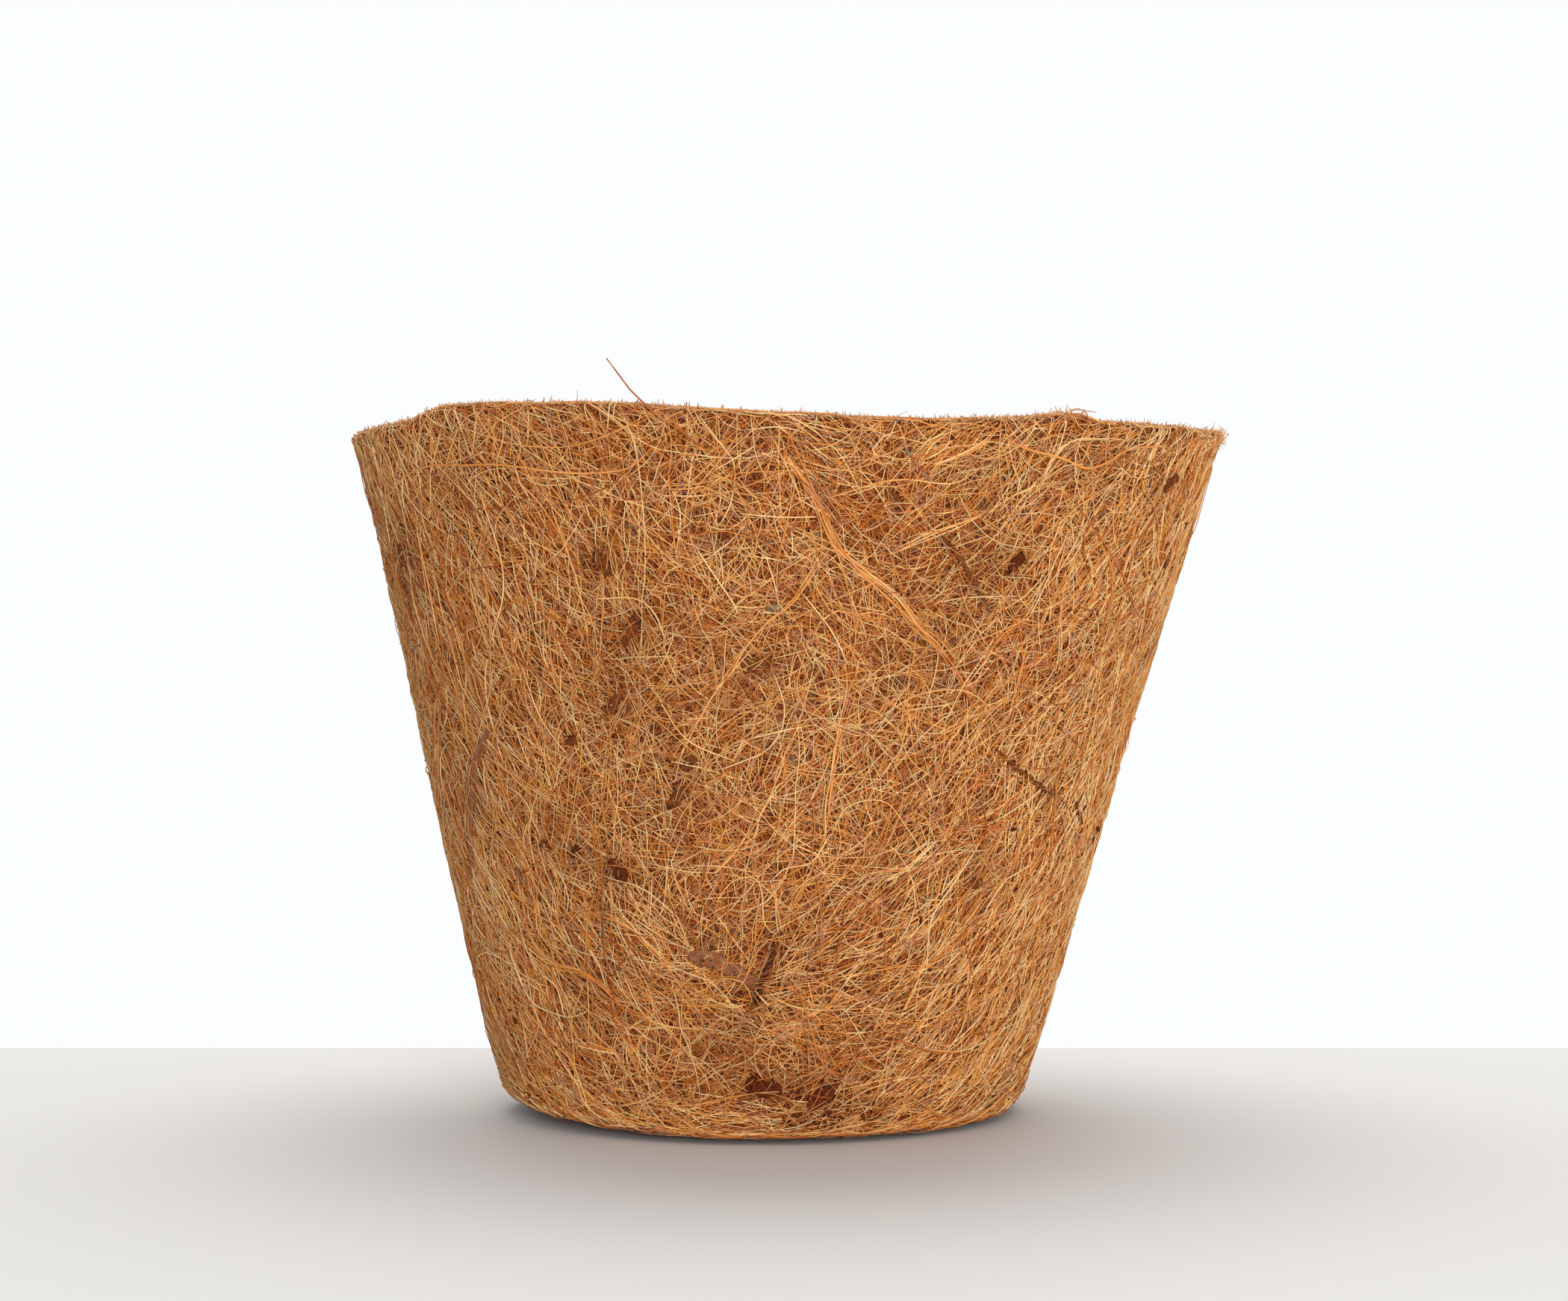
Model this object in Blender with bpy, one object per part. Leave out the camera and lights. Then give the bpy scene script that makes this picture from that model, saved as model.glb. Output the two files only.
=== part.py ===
"""Coir pot: a tapered plant pot moulded from coconut-fibre felt bonded with latex.

Metres, +Z up. The front faces -Y, the foot stands on z = 0, and the box round
the whole pot is centred on the Z axis.

Every piece is first made true, as if the mould were a perfect cone, and then
goes through press(), which gives it the real pot's lean, its out-of-round
mouth, its unevenly trimmed rim, its lifted foot and the tuck in the front.
Because all pieces share that one function, what sits on the felt follows it.
"""
import math

import bmesh
import bpy
from mathutils import Vector

# The cone: sizes of the outer face, before it is pressed out of true.
RIM_RADIUS = 0.1000
FOOT_RADIUS = 0.0593
WALL_HEIGHT = 0.1555
FELT_THICKNESS = 0.0042

# The foot: the wall curls in under the base and ends in a short toe.
FOOT_ROUNDING = 0.0060
TOE_LENGTH = 0.0025

# The rim: cut with shears, so its edge is a little crushed outwards.
LIP_HEIGHT = 0.0030
LIP_FLARE = 0.0009
RIM_EDGE_ROUNDING = 0.0010

# The base: a felt disc whose stepped edge seats on the toe.
BASE_THICKNESS = 0.0036
BASE_STEP_WIDTH = 0.0040
BASE_EDGE_ROUNDING = 0.0006

# Faces that touch keep this gap.
SEAT_GAP = 0.0003

# How the pot is out of true. Angles are in degrees from the front, + to the right.
LEAN = 0.0056
OVALITY = 0.0007
OVAL_ANGLE = 45.0
THREE_SIDEDNESS = 0.0004
SURFACE_WAVE = 0.0003
FOOT_LIFT = 0.0026
FOOT_LIFT_ANGLE = -90.0

# The tuck: the blank's spare cloth, folded in low on the front.
TUCK_TOP_ANGLE = 1.8
TUCK_TOP_HEIGHT = 0.0600
TUCK_FOOT_ANGLE = -4.4
TUCK_FOOT_HEIGHT = 0.0130
TUCK_BEND_START = 0.12
TUCK_BEND_END = 0.75
TUCK_DEPTH = 0.0018
TUCK_WIDTH = 0.0020
TUCK_FOLD_HEIGHT = 0.0010
TUCK_FOLD_OFFSET = 0.0042
TUCK_SHOWS_INSIDE = 0.35
PLEAT_HEIGHT = 0.00025
PLEAT_REACH = 0.0560
PLEATS_PER_TURN = 13

# The husk strip beside the tuck: its right end lies on the crease.
TUCK_STRIP_LENGTH = 0.0164
TUCK_STRIP_WIDTH = 0.0037
TUCK_STRIP_UP_TUCK = 0.545
TUCK_STRIP_ASIDE = 7.6
TUCK_STRIP_TILT = -25.0
TUCK_STRIP_BOW = 0.0005
TUCK_STRIP_BLUNTNESS = 12.0

# Husk and bristles pressed into the outer face.
HUSK_THICKNESS = 0.0008
HUSK_CROWN = 0.0003
BRISTLE_RADIUS = 0.00027
BRISTLE_STEP = 0.0040

# How finely the solids are faceted. Columns crowd together at the front, and
# the low rows stay close to each other until they are past the tuck's top.
COLUMNS = 84
FRONT_CROWDING = 0.7
LOW_ROWS = 14
HIGH_ROWS = 9
INNER_ROWS = 9
ROWS_ABOVE_TUCK = 0.0040

# The rim's height round the pot: (centre, fall to the left, fall to the right,
# height), angles in degrees. The first two make the high corner left of the front.
RIM_BUMPS = (
    (-46.0, 11.0, 56.0, 0.0024),
    (-46.0, 40.0, 56.0, 0.0013),
    (-20.0, 14.0, 14.0, 0.0005),
    (15.0, 15.0, 16.0, -0.0008),
    (37.0, 9.0, 5.0, 0.0013),
    (90.0, 22.0, 14.0, 0.0012),
    (150.0, 34.0, 30.0, -0.0009),
    (-140.0, 40.0, 30.0, 0.0010),
)

# Husk pieces: name, angle, height as a share of the wall, length, width, tilt,
# bow. Tilt is the long axis above the horizontal, rising to the right. Blunt
# ends, as of a torn strip, have a bluntness well above that of a pointed chip.
POINTED = 2.6
HUSK_STRIPS = (
    ("husk_strip_left", -56.9, 0.466, 0.0400, 0.0030, 58.0, 0.0030),
    ("husk_splinter_right", 43.5, 0.517, 0.0250, 0.0016, -26.0, -0.0012),
    ("husk_splinter_flank", 60.5, 0.454, 0.0085, 0.0015, -40.0, 0.0002),
    ("husk_splinter_upper", 25.2, 0.792, 0.0220, 0.0015, -50.0, 0.0004),
)
HUSK_FLAKES = (
    ("flake_foot_middle", 0.5, 0.082, 0.0080, 0.0045, -31.0),
    ("flake_foot_pith", 12.0, 0.064, 0.0068, 0.0046, 62.0),
    ("flake_foot_right", 22.9, 0.034, 0.0040, 0.0022, 8.0),
    ("flake_low_left", -25.5, 0.385, 0.0060, 0.0036, -70.0),
    ("flake_low_left_small", -33.6, 0.409, 0.0034, 0.0020, 40.0),
    ("flake_low_left_flank", -39.7, 0.415, 0.0034, 0.0022, -20.0),
    ("flake_left_middle", -31.6, 0.565, 0.0030, 0.0022, 0.0),
    ("flake_middle_upper", -12.6, 0.534, 0.0040, 0.0026, 35.0),
    ("flake_middle_lower", -14.6, 0.487, 0.0070, 0.0026, 38.0),
    ("flake_low_right", 37.1, 0.363, 0.0034, 0.0026, 20.0),
    ("flake_right_flank", 74.4, 0.413, 0.0080, 0.0034, 80.0),
    ("flake_upper_right", 32.6, 0.805, 0.0044, 0.0028, 70.0),
    ("flake_rim_right", 61.0, 0.922, 0.0060, 0.0030, 42.0),
    ("flake_rim_middle", 13.6, 0.898, 0.0034, 0.0020, -10.0),
    ("flake_centre_grey", -0.6, 0.743, 0.0032, 0.0018, -18.0),
    ("flake_flank_right", 68.6, 0.815, 0.0040, 0.0026, 60.0),
    ("flake_upper_left", -23.8, 0.796, 0.0058, 0.0028, -58.0),
    ("flake_left_flank", -66.2, 0.820, 0.0052, 0.0030, 75.0),
    ("flake_left_upper", -20.2, 0.714, 0.0080, 0.0028, 64.0),
    ("flake_left_long", -24.0, 0.615, 0.0088, 0.0024, 48.0),
    ("flake_centre", -2.2, 0.668, 0.0060, 0.0030, 30.0),
)

# Bristles: name, thickness against the others, then the route's points, each
# an angle, a height as a share of the wall, and how far it stands off the felt.
BRISTLES = (
    ("bristle_rim_left", 1.0, (
        (-66.8, 0.902, 0.0), (-55.7, 0.931, 0.0), (-46.4, 0.921, 0.0), (-38.2, 0.920, 0.0),
        (-31.1, 0.913, 0.0), (-25.7, 0.909, 0.0), (-19.5, 0.916, 0.0), (-16.1, 0.944, 0.0))),
    ("bristle_centre", 1.25, (
        (0.2, 0.978, 0.0), (5.4, 0.869, 0.0), (9.2, 0.808, 0.0),
        (18.5, 0.726, 0.0), (25.2, 0.669, 0.0), (29.4, 0.620, 0.0))),
    ("bristle_rim_right", 1.1, (
        (27.4, 0.974, 0.0), (31.4, 0.955, 0.0), (38.6, 0.936, 0.0), (42.5, 0.938, 0.0),
        (45.4, 0.950, 0.0), (48.6, 0.966, 0.0), (57.5, 0.974, 0.0))),
    ("bristle_right", 1.0, (
        (38.5, 0.908, 0.0), (42.3, 0.874, 0.0), (51.4, 0.812, 0.0), (61.5, 0.740, 0.0))),
    ("bristle_dark", 1.35, (
        (13.8, 0.974, 0.0), (15.6, 0.949, 0.0), (18.6, 0.914, 0.0))),
    ("bristle_foot_right", 1.1, (
        (26.6, 0.143, 0.0), (33.9, 0.126, 0.0), (42.8, 0.118, 0.0))),
    ("bristle_loose", 0.9, (
        (-9.4, 0.948, 0.0), (-12.1, 0.967, 0.0), (-15.2, 0.988, 0.0003),
        (-17.9, 1.017, 0.0012), (-20.4, 1.057, 0.0020))),
)

FELT_BROWN = (0.430, 0.175, 0.060)
BASE_BROWN = (0.380, 0.150, 0.050)
DARK_HUSK = (0.085, 0.026, 0.012)
RED_HUSK = (0.200, 0.068, 0.030)
BRISTLE_GOLD = (0.560, 0.250, 0.085)

TAPER = (RIM_RADIUS - FOOT_RADIUS) / WALL_HEIGHT
TAPER_ANGLE = math.atan(TAPER)
LEVEL_THICKNESS = FELT_THICKNESS / math.cos(TAPER_ANGLE)


def cone_radius(height):
    """Radius of the true cone's outer face at a height."""
    return FOOT_RADIUS + TAPER * height


def foot_centre():
    """Centre of the foot's rounding, tangent to the table and to the wall."""
    corner = math.radians(90.0) - TAPER_ANGLE
    return FOOT_RADIUS - FOOT_ROUNDING * math.tan(corner / 2.0), FOOT_ROUNDING


def toe_end():
    """Radius at which the turned-in toe stops."""
    return foot_centre()[0] - TOE_LENGTH


def base_flat_radius():
    """Radius of the base's flat middle, inside its stepped edge."""
    return toe_end() - SEAT_GAP - BASE_STEP_WIDTH


def ease(value, start, end):
    """0 before start, 1 after end, and a smooth rise between them."""
    share = min(1.0, max(0.0, (value - start) / (end - start)))
    return share * share * (3.0 - 2.0 * share)


def degrees_between(angle, other):
    """Signed degrees from other to angle, the short way round."""
    return (angle - other + 180.0) % 360.0 - 180.0


def rim_rise(angle):
    """How far the rim is cut above or below its mean height."""
    rise = 0.0
    for centre, fall_left, fall_right, height in RIM_BUMPS:
        away = degrees_between(angle, centre)
        reach = fall_left if away < 0.0 else fall_right
        if abs(away) < reach:
            rise += height * 0.5 * (1.0 + math.cos(math.pi * away / reach))
    return rise


def foot_lift(angle):
    """How far the foot's edge stands clear of the table on the lifted side."""
    facing = max(0.0, math.cos(math.radians(angle - FOOT_LIFT_ANGLE)))
    return FOOT_LIFT * facing ** 2


def crease_angle(run):
    """Where the tuck's crease is, a share of the way up it. It is a soft S."""
    bend = ease(run, TUCK_BEND_START, TUCK_BEND_END)
    return TUCK_FOOT_ANGLE + (TUCK_TOP_ANGLE - TUCK_FOOT_ANGLE) * bend


def tuck_relief(angle, height):
    """Height of the outer face round the tuck: a crease between two folds."""
    run = (height - TUCK_FOOT_HEIGHT) / (TUCK_TOP_HEIGHT - TUCK_FOOT_HEIGHT)
    if not 0.0 < run < 1.0:
        return 0.0
    strength = math.sin(math.pi * run ** 0.7)
    away = math.radians(degrees_between(angle, crease_angle(run))) * cone_radius(height)
    crease = -TUCK_DEPTH * math.exp(-(away / TUCK_WIDTH) ** 2)
    right_fold = math.exp(-((away - TUCK_FOLD_OFFSET) / (TUCK_WIDTH * 1.2)) ** 2)
    left_fold = math.exp(-((away + TUCK_FOLD_OFFSET) / (TUCK_WIDTH * 1.2)) ** 2)
    return strength * (crease + TUCK_FOLD_HEIGHT * (right_fold + 0.5 * left_fold))


def pleat_relief(angle, height):
    """Soft pleats that fan out from the tuck's foot, up and to the right."""
    across = math.radians(degrees_between(angle, TUCK_FOOT_ANGLE)) * cone_radius(height)
    up = height - TUCK_FOOT_HEIGHT
    reach = math.hypot(across, up)
    if reach < 0.008 or reach > PLEAT_REACH or across < 0.0 or up < 0.0:
        return 0.0
    bearing = math.atan2(up, across)
    window = math.sin(math.pi * (reach - 0.008) / (PLEAT_REACH - 0.008)) * math.sin(2.0 * bearing)
    return PLEAT_HEIGHT * window * math.sin(PLEATS_PER_TURN * bearing)


def press(radius, angle, height):
    """Where a point of the true pot lies on the real one. Angle in degrees."""
    share = height / WALL_HEIGHT
    depth = min(1.0, max(0.0, (cone_radius(height) - radius) / LEVEL_THICKNESS))
    turn = math.radians(angle)
    on_wall = ease(radius, base_flat_radius(), toe_end() - SEAT_GAP)

    oval = OVALITY * math.cos(2.0 * math.radians(angle - OVAL_ANGLE))
    lobes = THREE_SIDEDNESS * math.cos(3.0 * turn + 0.9)
    out = share * (oval + lobes) * on_wall
    wave = SURFACE_WAVE * math.sin(5.0 * turn + 7.0 * share) * math.sin(math.pi * min(1.0, max(0.0, share)))
    relief = wave + tuck_relief(angle, height) + pleat_relief(angle, height)
    out += relief * (1.0 - (1.0 - TUCK_SHOWS_INSIDE) * depth) * on_wall

    climb = rim_rise(angle) * ease(share, 0.6, 1.0)
    lift = foot_lift(angle) * (1.0 - ease(share, 0.0, 0.12)) * on_wall
    out += TAPER * climb
    centre_x = LEAN * (share - 1.0)
    radius = radius + out
    return Vector((centre_x + radius * math.sin(turn), -radius * math.cos(turn), height + climb + lift))


def angle_of(point):
    """Degrees from the front of a point on the true, upright pot."""
    return math.degrees(math.atan2(point.x, -point.y))


def spin_section(section, closed):
    """Turn a section of (radius, height) points once round the Z axis."""
    bm = bmesh.new()
    points = [bm.verts.new((0.0, -radius, height)) for radius, height in section]
    edges = [bm.edges.new(pair) for pair in zip(points, points[1:])]
    if closed:
        edges.append(bm.edges.new((points[-1], points[0])))
    bmesh.ops.spin(bm, geom=points + edges, cent=(0.0, 0.0, 0.0), axis=(0.0, 0.0, 1.0),
                   angle=math.tau, steps=COLUMNS, use_merge=True)
    bmesh.ops.remove_doubles(bm, verts=bm.verts, dist=0.00001)
    return bm


def press_spun(bm):
    """Press a spun piece out of true, crowding its columns at the front."""
    for vert in bm.verts:
        radius = math.hypot(vert.co.x, vert.co.y)
        turn = math.atan2(vert.co.x, -vert.co.y)
        angle = math.degrees(turn - FRONT_CROWDING * math.sin(turn))
        vert.co = press(radius, angle, vert.co.z)
    bmesh.ops.recalc_face_normals(bm, faces=bm.faces)


def arc(centre, radius, start, end, steps):
    """Points of an arc in the section plane, angles in degrees."""
    points = []
    for step in range(steps + 1):
        turn = math.radians(start + (end - start) * step / steps)
        points.append((centre[0] + radius * math.cos(turn), centre[1] + radius * math.sin(turn)))
    return points


def wall_section():
    """The side blank's section: toe, foot, outer face, cut rim, inner face."""
    centre = foot_centre()
    wall_side = -math.degrees(TAPER_ANGLE)
    edge = RIM_EDGE_ROUNDING
    outer_foot = arc(centre, FOOT_ROUNDING, -90.0, wall_side, 4)
    inner_foot = arc(centre, FOOT_ROUNDING - FELT_THICKNESS, wall_side, -90.0, 2)
    lip_start = WALL_HEIGHT - LIP_HEIGHT
    section = [(toe_end(), edge), (toe_end() + edge, 0.0)] + outer_foot
    first = outer_foot[-1][1]
    low_top = TUCK_TOP_HEIGHT + ROWS_ABOVE_TUCK
    for row in range(1, LOW_ROWS + 1):
        height = first + (low_top - first) * row / LOW_ROWS
        section.append((cone_radius(height), height))
    for row in range(1, HIGH_ROWS + 1):
        height = low_top + (lip_start - low_top) * row / HIGH_ROWS
        section.append((cone_radius(height), height))
    section.append((cone_radius(WALL_HEIGHT - edge) + LIP_FLARE, WALL_HEIGHT - edge))
    section.append((cone_radius(WALL_HEIGHT) + LIP_FLARE - edge, WALL_HEIGHT))
    section.append((cone_radius(WALL_HEIGHT) - LEVEL_THICKNESS + edge, WALL_HEIGHT))
    last = inner_foot[0][1]
    for row in range(INNER_ROWS):
        height = WALL_HEIGHT - edge + (last - WALL_HEIGHT + edge) * row / INNER_ROWS
        section.append((cone_radius(height) - LEVEL_THICKNESS, height))
    section += inner_foot
    section.append((toe_end() + edge, FELT_THICKNESS))
    section.append((toe_end(), FELT_THICKNESS - edge))
    return section


def base_section():
    """The base disc's section, from the axis round its edge and back."""
    centre = foot_centre()
    edge = BASE_EDGE_ROUNDING
    plug = toe_end() - SEAT_GAP
    ledge = FELT_THICKNESS + SEAT_GAP
    top = ledge + BASE_THICKNESS
    seat = arc(centre, FOOT_ROUNDING - FELT_THICKNESS - SEAT_GAP, -90.0, -math.degrees(TAPER_ANGLE), 2)
    side = cone_radius(top - edge) - LEVEL_THICKNESS - SEAT_GAP
    shoulder = base_flat_radius()
    section = [(0.0, 0.0), (shoulder, 0.0), (plug - edge, 0.0), (plug, edge), (plug, ledge)]
    section += seat
    section += [(side, top - edge), (side - edge, top), (shoulder, top)]
    section += [(shoulder - BASE_STEP_WIDTH, BASE_THICKNESS), (0.0, BASE_THICKNESS)]
    return section


def new_object(name, bm, material, smooth=True):
    """Put a finished bmesh into the scene as one named piece."""
    mesh = bpy.data.meshes.new(name)
    for face in bm.faces:
        face.smooth = smooth
    bm.to_mesh(mesh)
    bm.free()
    mesh.materials.append(material)
    piece = bpy.data.objects.new(name, mesh)
    bpy.context.collection.objects.link(piece)
    return piece


def new_material(name, colour, roughness):
    """A plain, non-metallic Principled material."""
    material = bpy.data.materials.new(name)
    material.use_nodes = True
    shader = material.node_tree.nodes["Principled BSDF"]
    shader.inputs["Base Color"].default_value = (*colour, 1.0)
    shader.inputs["Roughness"].default_value = roughness
    shader.inputs["Metallic"].default_value = 0.0
    return material


def husk_piece(name, angle, share, length, width, tilt, bow, bluntness, material):
    """A chip of husk: a thin plate with rounded ends and a crowned face.

    It is drawn flat, then wrapped on the true cone just clear of the felt, and
    pressed out of true with it.
    """
    cells = max(4, round(length / 0.0026))
    bm = bmesh.new()
    bmesh.ops.create_grid(bm, x_segments=cells, y_segments=2, size=0.5)
    flat = list(bm.verts)
    raised = bmesh.ops.extrude_face_region(bm, geom=bm.faces[:])
    top = {item for item in raised["geom"] if isinstance(item, bmesh.types.BMVert)}
    bmesh.ops.translate(bm, verts=list(top), vec=(0.0, 0.0, 1.0))
    bmesh.ops.recalc_face_normals(bm, faces=bm.faces)
    lean = math.radians(tilt)
    height_here = share * WALL_HEIGHT
    radius_here = cone_radius(height_here)
    for vert in flat + list(top):
        along = 2.0 * vert.co.x
        across = 2.0 * vert.co.y
        full = math.sqrt(max(0.0, 1.0 - abs(along) ** bluntness))
        ragged = 1.0 + 0.10 * math.sin(7.0 * along + angle) + 0.06 * math.sin(13.0 * along + 2.0 * angle)
        half_width = width / 2.0 * (0.22 + 0.78 * full) * ragged
        x = along * length / 2.0
        y = across * half_width + bow * (1.0 - along * along)
        out = SEAT_GAP
        if vert in top:
            out += HUSK_THICKNESS + HUSK_CROWN * (1.0 - abs(across)) * full
        right = x * math.cos(lean) - y * math.sin(lean)
        up = x * math.sin(lean) + y * math.cos(lean)
        height = height_here + up * math.cos(TAPER_ANGLE)
        level_out = out / math.cos(TAPER_ANGLE)
        wrapped = angle + math.degrees(right / radius_here)
        vert.co = press(cone_radius(height) + level_out, wrapped, height)
    return new_object(name, bm, material, smooth=False)


def smooth_route(points):
    """A Catmull-Rom route through the points, cut into short steps."""
    ends = [points[0]] + list(points) + [points[-1]]
    route = []
    for before, here, after, beyond in zip(ends, ends[1:], ends[2:], ends[3:]):
        run = math.hypot(math.radians(after[0] - here[0]) * RIM_RADIUS, (after[1] - here[1]) * WALL_HEIGHT)
        steps = max(1, round(run / BRISTLE_STEP))
        for step in range(steps):
            t = step / steps
            route.append([
                0.5 * (2.0 * b + (c - a) * t + (2.0 * a - 5.0 * b + 4.0 * c - d) * t * t
                       + (3.0 * b - a - 3.0 * c + d) * t ** 3)
                for a, b, c, d in zip(before, here, after, beyond)])
    route.append(list(points[-1]))
    return route


def bristle(name, thickness, points, material):
    """One coarse fibre: a tapered tube that lies just clear of the felt."""
    route = smooth_route(points)
    curve = bpy.data.curves.new(name, "CURVE")
    curve.dimensions = "3D"
    curve.bevel_depth = BRISTLE_RADIUS * thickness
    curve.bevel_resolution = 1
    curve.use_fill_caps = True
    spline = curve.splines.new("POLY")
    spline.points.add(len(route) - 1)
    seat = (SEAT_GAP + BRISTLE_RADIUS * thickness) / math.cos(TAPER_ANGLE)
    for index, (angle, share, stand_off) in enumerate(route):
        height = share * WALL_HEIGHT
        flare = LIP_FLARE * ease(height, WALL_HEIGHT - 2.0 * LIP_HEIGHT, WALL_HEIGHT - LIP_HEIGHT)
        place = press(cone_radius(height) + seat + stand_off + flare, angle, height)
        end_share = index / (len(route) - 1)
        spline.points[index].co = (*place, 1.0)
        spline.points[index].radius = 0.45 + 0.55 * math.sin(math.pi * end_share) ** 0.5
    curve.materials.append(material)
    piece = bpy.data.objects.new(name, curve)
    bpy.context.collection.objects.link(piece)
    return piece


def wall_felt():
    bm = spin_section(wall_section(), closed=True)
    press_spun(bm)
    return new_object("wall_felt", bm, new_material("coir felt, side blank", FELT_BROWN, 0.9))


def base_disc():
    bm = spin_section(base_section(), closed=False)
    press_spun(bm)
    return new_object("base_disc", bm, new_material("coir felt, base disc", BASE_BROWN, 0.9))


def husk_pieces():
    strip_husk = new_material("husk strip, reddish", RED_HUSK, 0.75)
    flake_husk = new_material("husk flake, dark", DARK_HUSK, 0.8)
    strip_height = TUCK_FOOT_HEIGHT + TUCK_STRIP_UP_TUCK * (TUCK_TOP_HEIGHT - TUCK_FOOT_HEIGHT)
    husk_piece("husk_strip_tuck", crease_angle(TUCK_STRIP_UP_TUCK) - TUCK_STRIP_ASIDE,
               strip_height / WALL_HEIGHT, TUCK_STRIP_LENGTH, TUCK_STRIP_WIDTH, TUCK_STRIP_TILT,
               TUCK_STRIP_BOW, TUCK_STRIP_BLUNTNESS, strip_husk)
    for name, angle, share, length, width, tilt, bow in HUSK_STRIPS:
        husk_piece(name, angle, share, length, width, tilt, bow, POINTED, strip_husk)
    for name, angle, share, length, width, tilt in HUSK_FLAKES:
        husk_piece(name, angle, share, length, width, tilt, 0.0, POINTED, flake_husk)


def bristles():
    golden = new_material("coarse coir bristle", BRISTLE_GOLD, 0.6)
    for name, thickness, points in BRISTLES:
        bristle(name, thickness, points, golden)


def box_middle(pieces):
    """Middle, in X and Y, of the box round all the pieces."""
    depsgraph = bpy.context.evaluated_depsgraph_get()
    xs = []
    ys = []
    for piece in pieces:
        shape = piece.evaluated_get(depsgraph)
        for vert in shape.to_mesh().vertices:
            xs.append(vert.co.x)
            ys.append(vert.co.y)
        shape.to_mesh_clear()
    return (min(xs) + max(xs)) / 2.0, (min(ys) + max(ys)) / 2.0


def centre_on_axis():
    """Parent every piece to one empty that puts their joint box on the Z axis."""
    pieces = list(bpy.context.scene.objects)
    middle_x, middle_y = box_middle(pieces)
    frame = bpy.data.objects.new("coir_pot", None)
    bpy.context.collection.objects.link(frame)
    frame.location = (-middle_x, -middle_y, 0.0)
    for piece in pieces:
        piece.parent = frame
    bpy.context.view_layer.update()


def main():
    for leftover in list(bpy.data.objects):
        bpy.data.objects.remove(leftover)
    wall_felt()
    base_disc()
    husk_pieces()
    bristles()
    centre_on_axis()


main()
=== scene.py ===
"""Coir pot: the looks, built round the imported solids.

Metres, +Z up, the front towards -Y. A place on the felt is a turn from the
front, + to the right, and a run: the way along the felt's section from the
turned-in toe under the foot, up the outer face, over the rim and down inside.
"""
import math

import bpy
import numpy as np
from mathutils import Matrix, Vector


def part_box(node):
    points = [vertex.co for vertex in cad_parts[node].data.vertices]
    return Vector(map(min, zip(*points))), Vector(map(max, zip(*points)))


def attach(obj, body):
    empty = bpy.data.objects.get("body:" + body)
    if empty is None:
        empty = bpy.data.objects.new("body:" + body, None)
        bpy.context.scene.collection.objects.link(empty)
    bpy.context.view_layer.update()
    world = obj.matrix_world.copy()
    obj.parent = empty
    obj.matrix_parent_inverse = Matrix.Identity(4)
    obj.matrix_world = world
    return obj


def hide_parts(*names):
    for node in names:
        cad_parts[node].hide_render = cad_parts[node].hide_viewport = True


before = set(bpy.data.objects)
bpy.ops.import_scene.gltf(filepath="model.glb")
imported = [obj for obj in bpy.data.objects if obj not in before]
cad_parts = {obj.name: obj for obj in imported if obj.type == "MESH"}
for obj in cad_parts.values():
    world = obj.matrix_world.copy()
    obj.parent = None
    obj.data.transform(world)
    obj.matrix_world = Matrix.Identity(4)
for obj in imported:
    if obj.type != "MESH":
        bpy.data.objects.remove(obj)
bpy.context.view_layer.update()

# The side blank. The real piece is one ring of needled coconut fibre, sprayed with latex, pressed hot over
# a cone and trimmed at the mouth. This mesh is the felt's body, a little under the fibres on its faces.
RIM_RADIUS = 0.1000
FOOT_RADIUS = 0.0593
WALL_HEIGHT = 0.1555
FELT_THICKNESS = 0.0042
FOOT_ROUNDING = 0.0060
TOE_LENGTH = 0.0025
LIP_HEIGHT = 0.0030
LIP_START = WALL_HEIGHT - 2.0 * LIP_HEIGHT
LIP_FLARE = 0.0009
RIM_ROUNDING = 0.0010
BASE_STEP_WIDTH = 0.0040
SEAT_GAP = 0.0003
LEAN = 0.0056
OVALITY = 0.0007
OVAL_TURN = math.radians(45.0)
THREE_SIDEDNESS = 0.0004
THREE_SIDED_PHASE = 0.9
SURFACE_WAVE = 0.0003
WAVES_ROUND = 5.0
WAVES_UP = 7.0
RIM_CLIMB_START = 0.6
FOOT_LIFT = 0.0026
FOOT_LIFT_TURN = math.radians(-90.0)
FOOT_LIFT_END = 0.12
FOOT_RISE = 0.0006
TUCK_TOP = (1.8, 0.0600)
TUCK_FOOT = (-4.4, 0.0130)
TUCK_BEND = (0.12, 0.75)
TUCK_DEPTH = 0.0018
TUCK_WIDTH = 0.0020
TUCK_SWELL = 0.7
TUCK_FOLD_HEIGHT = 0.0010
TUCK_FOLD_OFFSET = 0.0042
TUCK_FOLD_WIDTH = 0.0024
TUCK_LEFT_FOLD = 0.5
TUCK_SHOWS_INSIDE = 0.35
PLEAT_HEIGHT = 0.00025
PLEAT_START = 0.0080
PLEAT_REACH = 0.0560
PLEATS_PER_TURN = 13
# Each rise of the trimmed rim: middle, fall to the left, fall to the right (degrees), height.
RIM_RISES = (
    (-46.0, 11.0, 56.0, 0.0024),
    (-46.0, 40.0, 56.0, 0.0013),
    (-20.0, 14.0, 14.0, 0.0005),
    (15.0, 15.0, 16.0, -0.0008),
    (37.0, 9.0, 5.0, 0.0013),
    (90.0, 22.0, 14.0, 0.0012),
    (150.0, 34.0, 30.0, -0.0009),
    (-140.0, 40.0, 30.0, 0.0010),
)
TAPER = (RIM_RADIUS - FOOT_RADIUS) / WALL_HEIGHT
SLOPE = math.atan(TAPER)
LEVEL_THICKNESS = FELT_THICKNESS / math.cos(SLOPE)
FOOT_CENTRE = FOOT_RADIUS - FOOT_ROUNDING * math.tan((math.pi / 2.0 - SLOPE) / 2.0)
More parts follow.
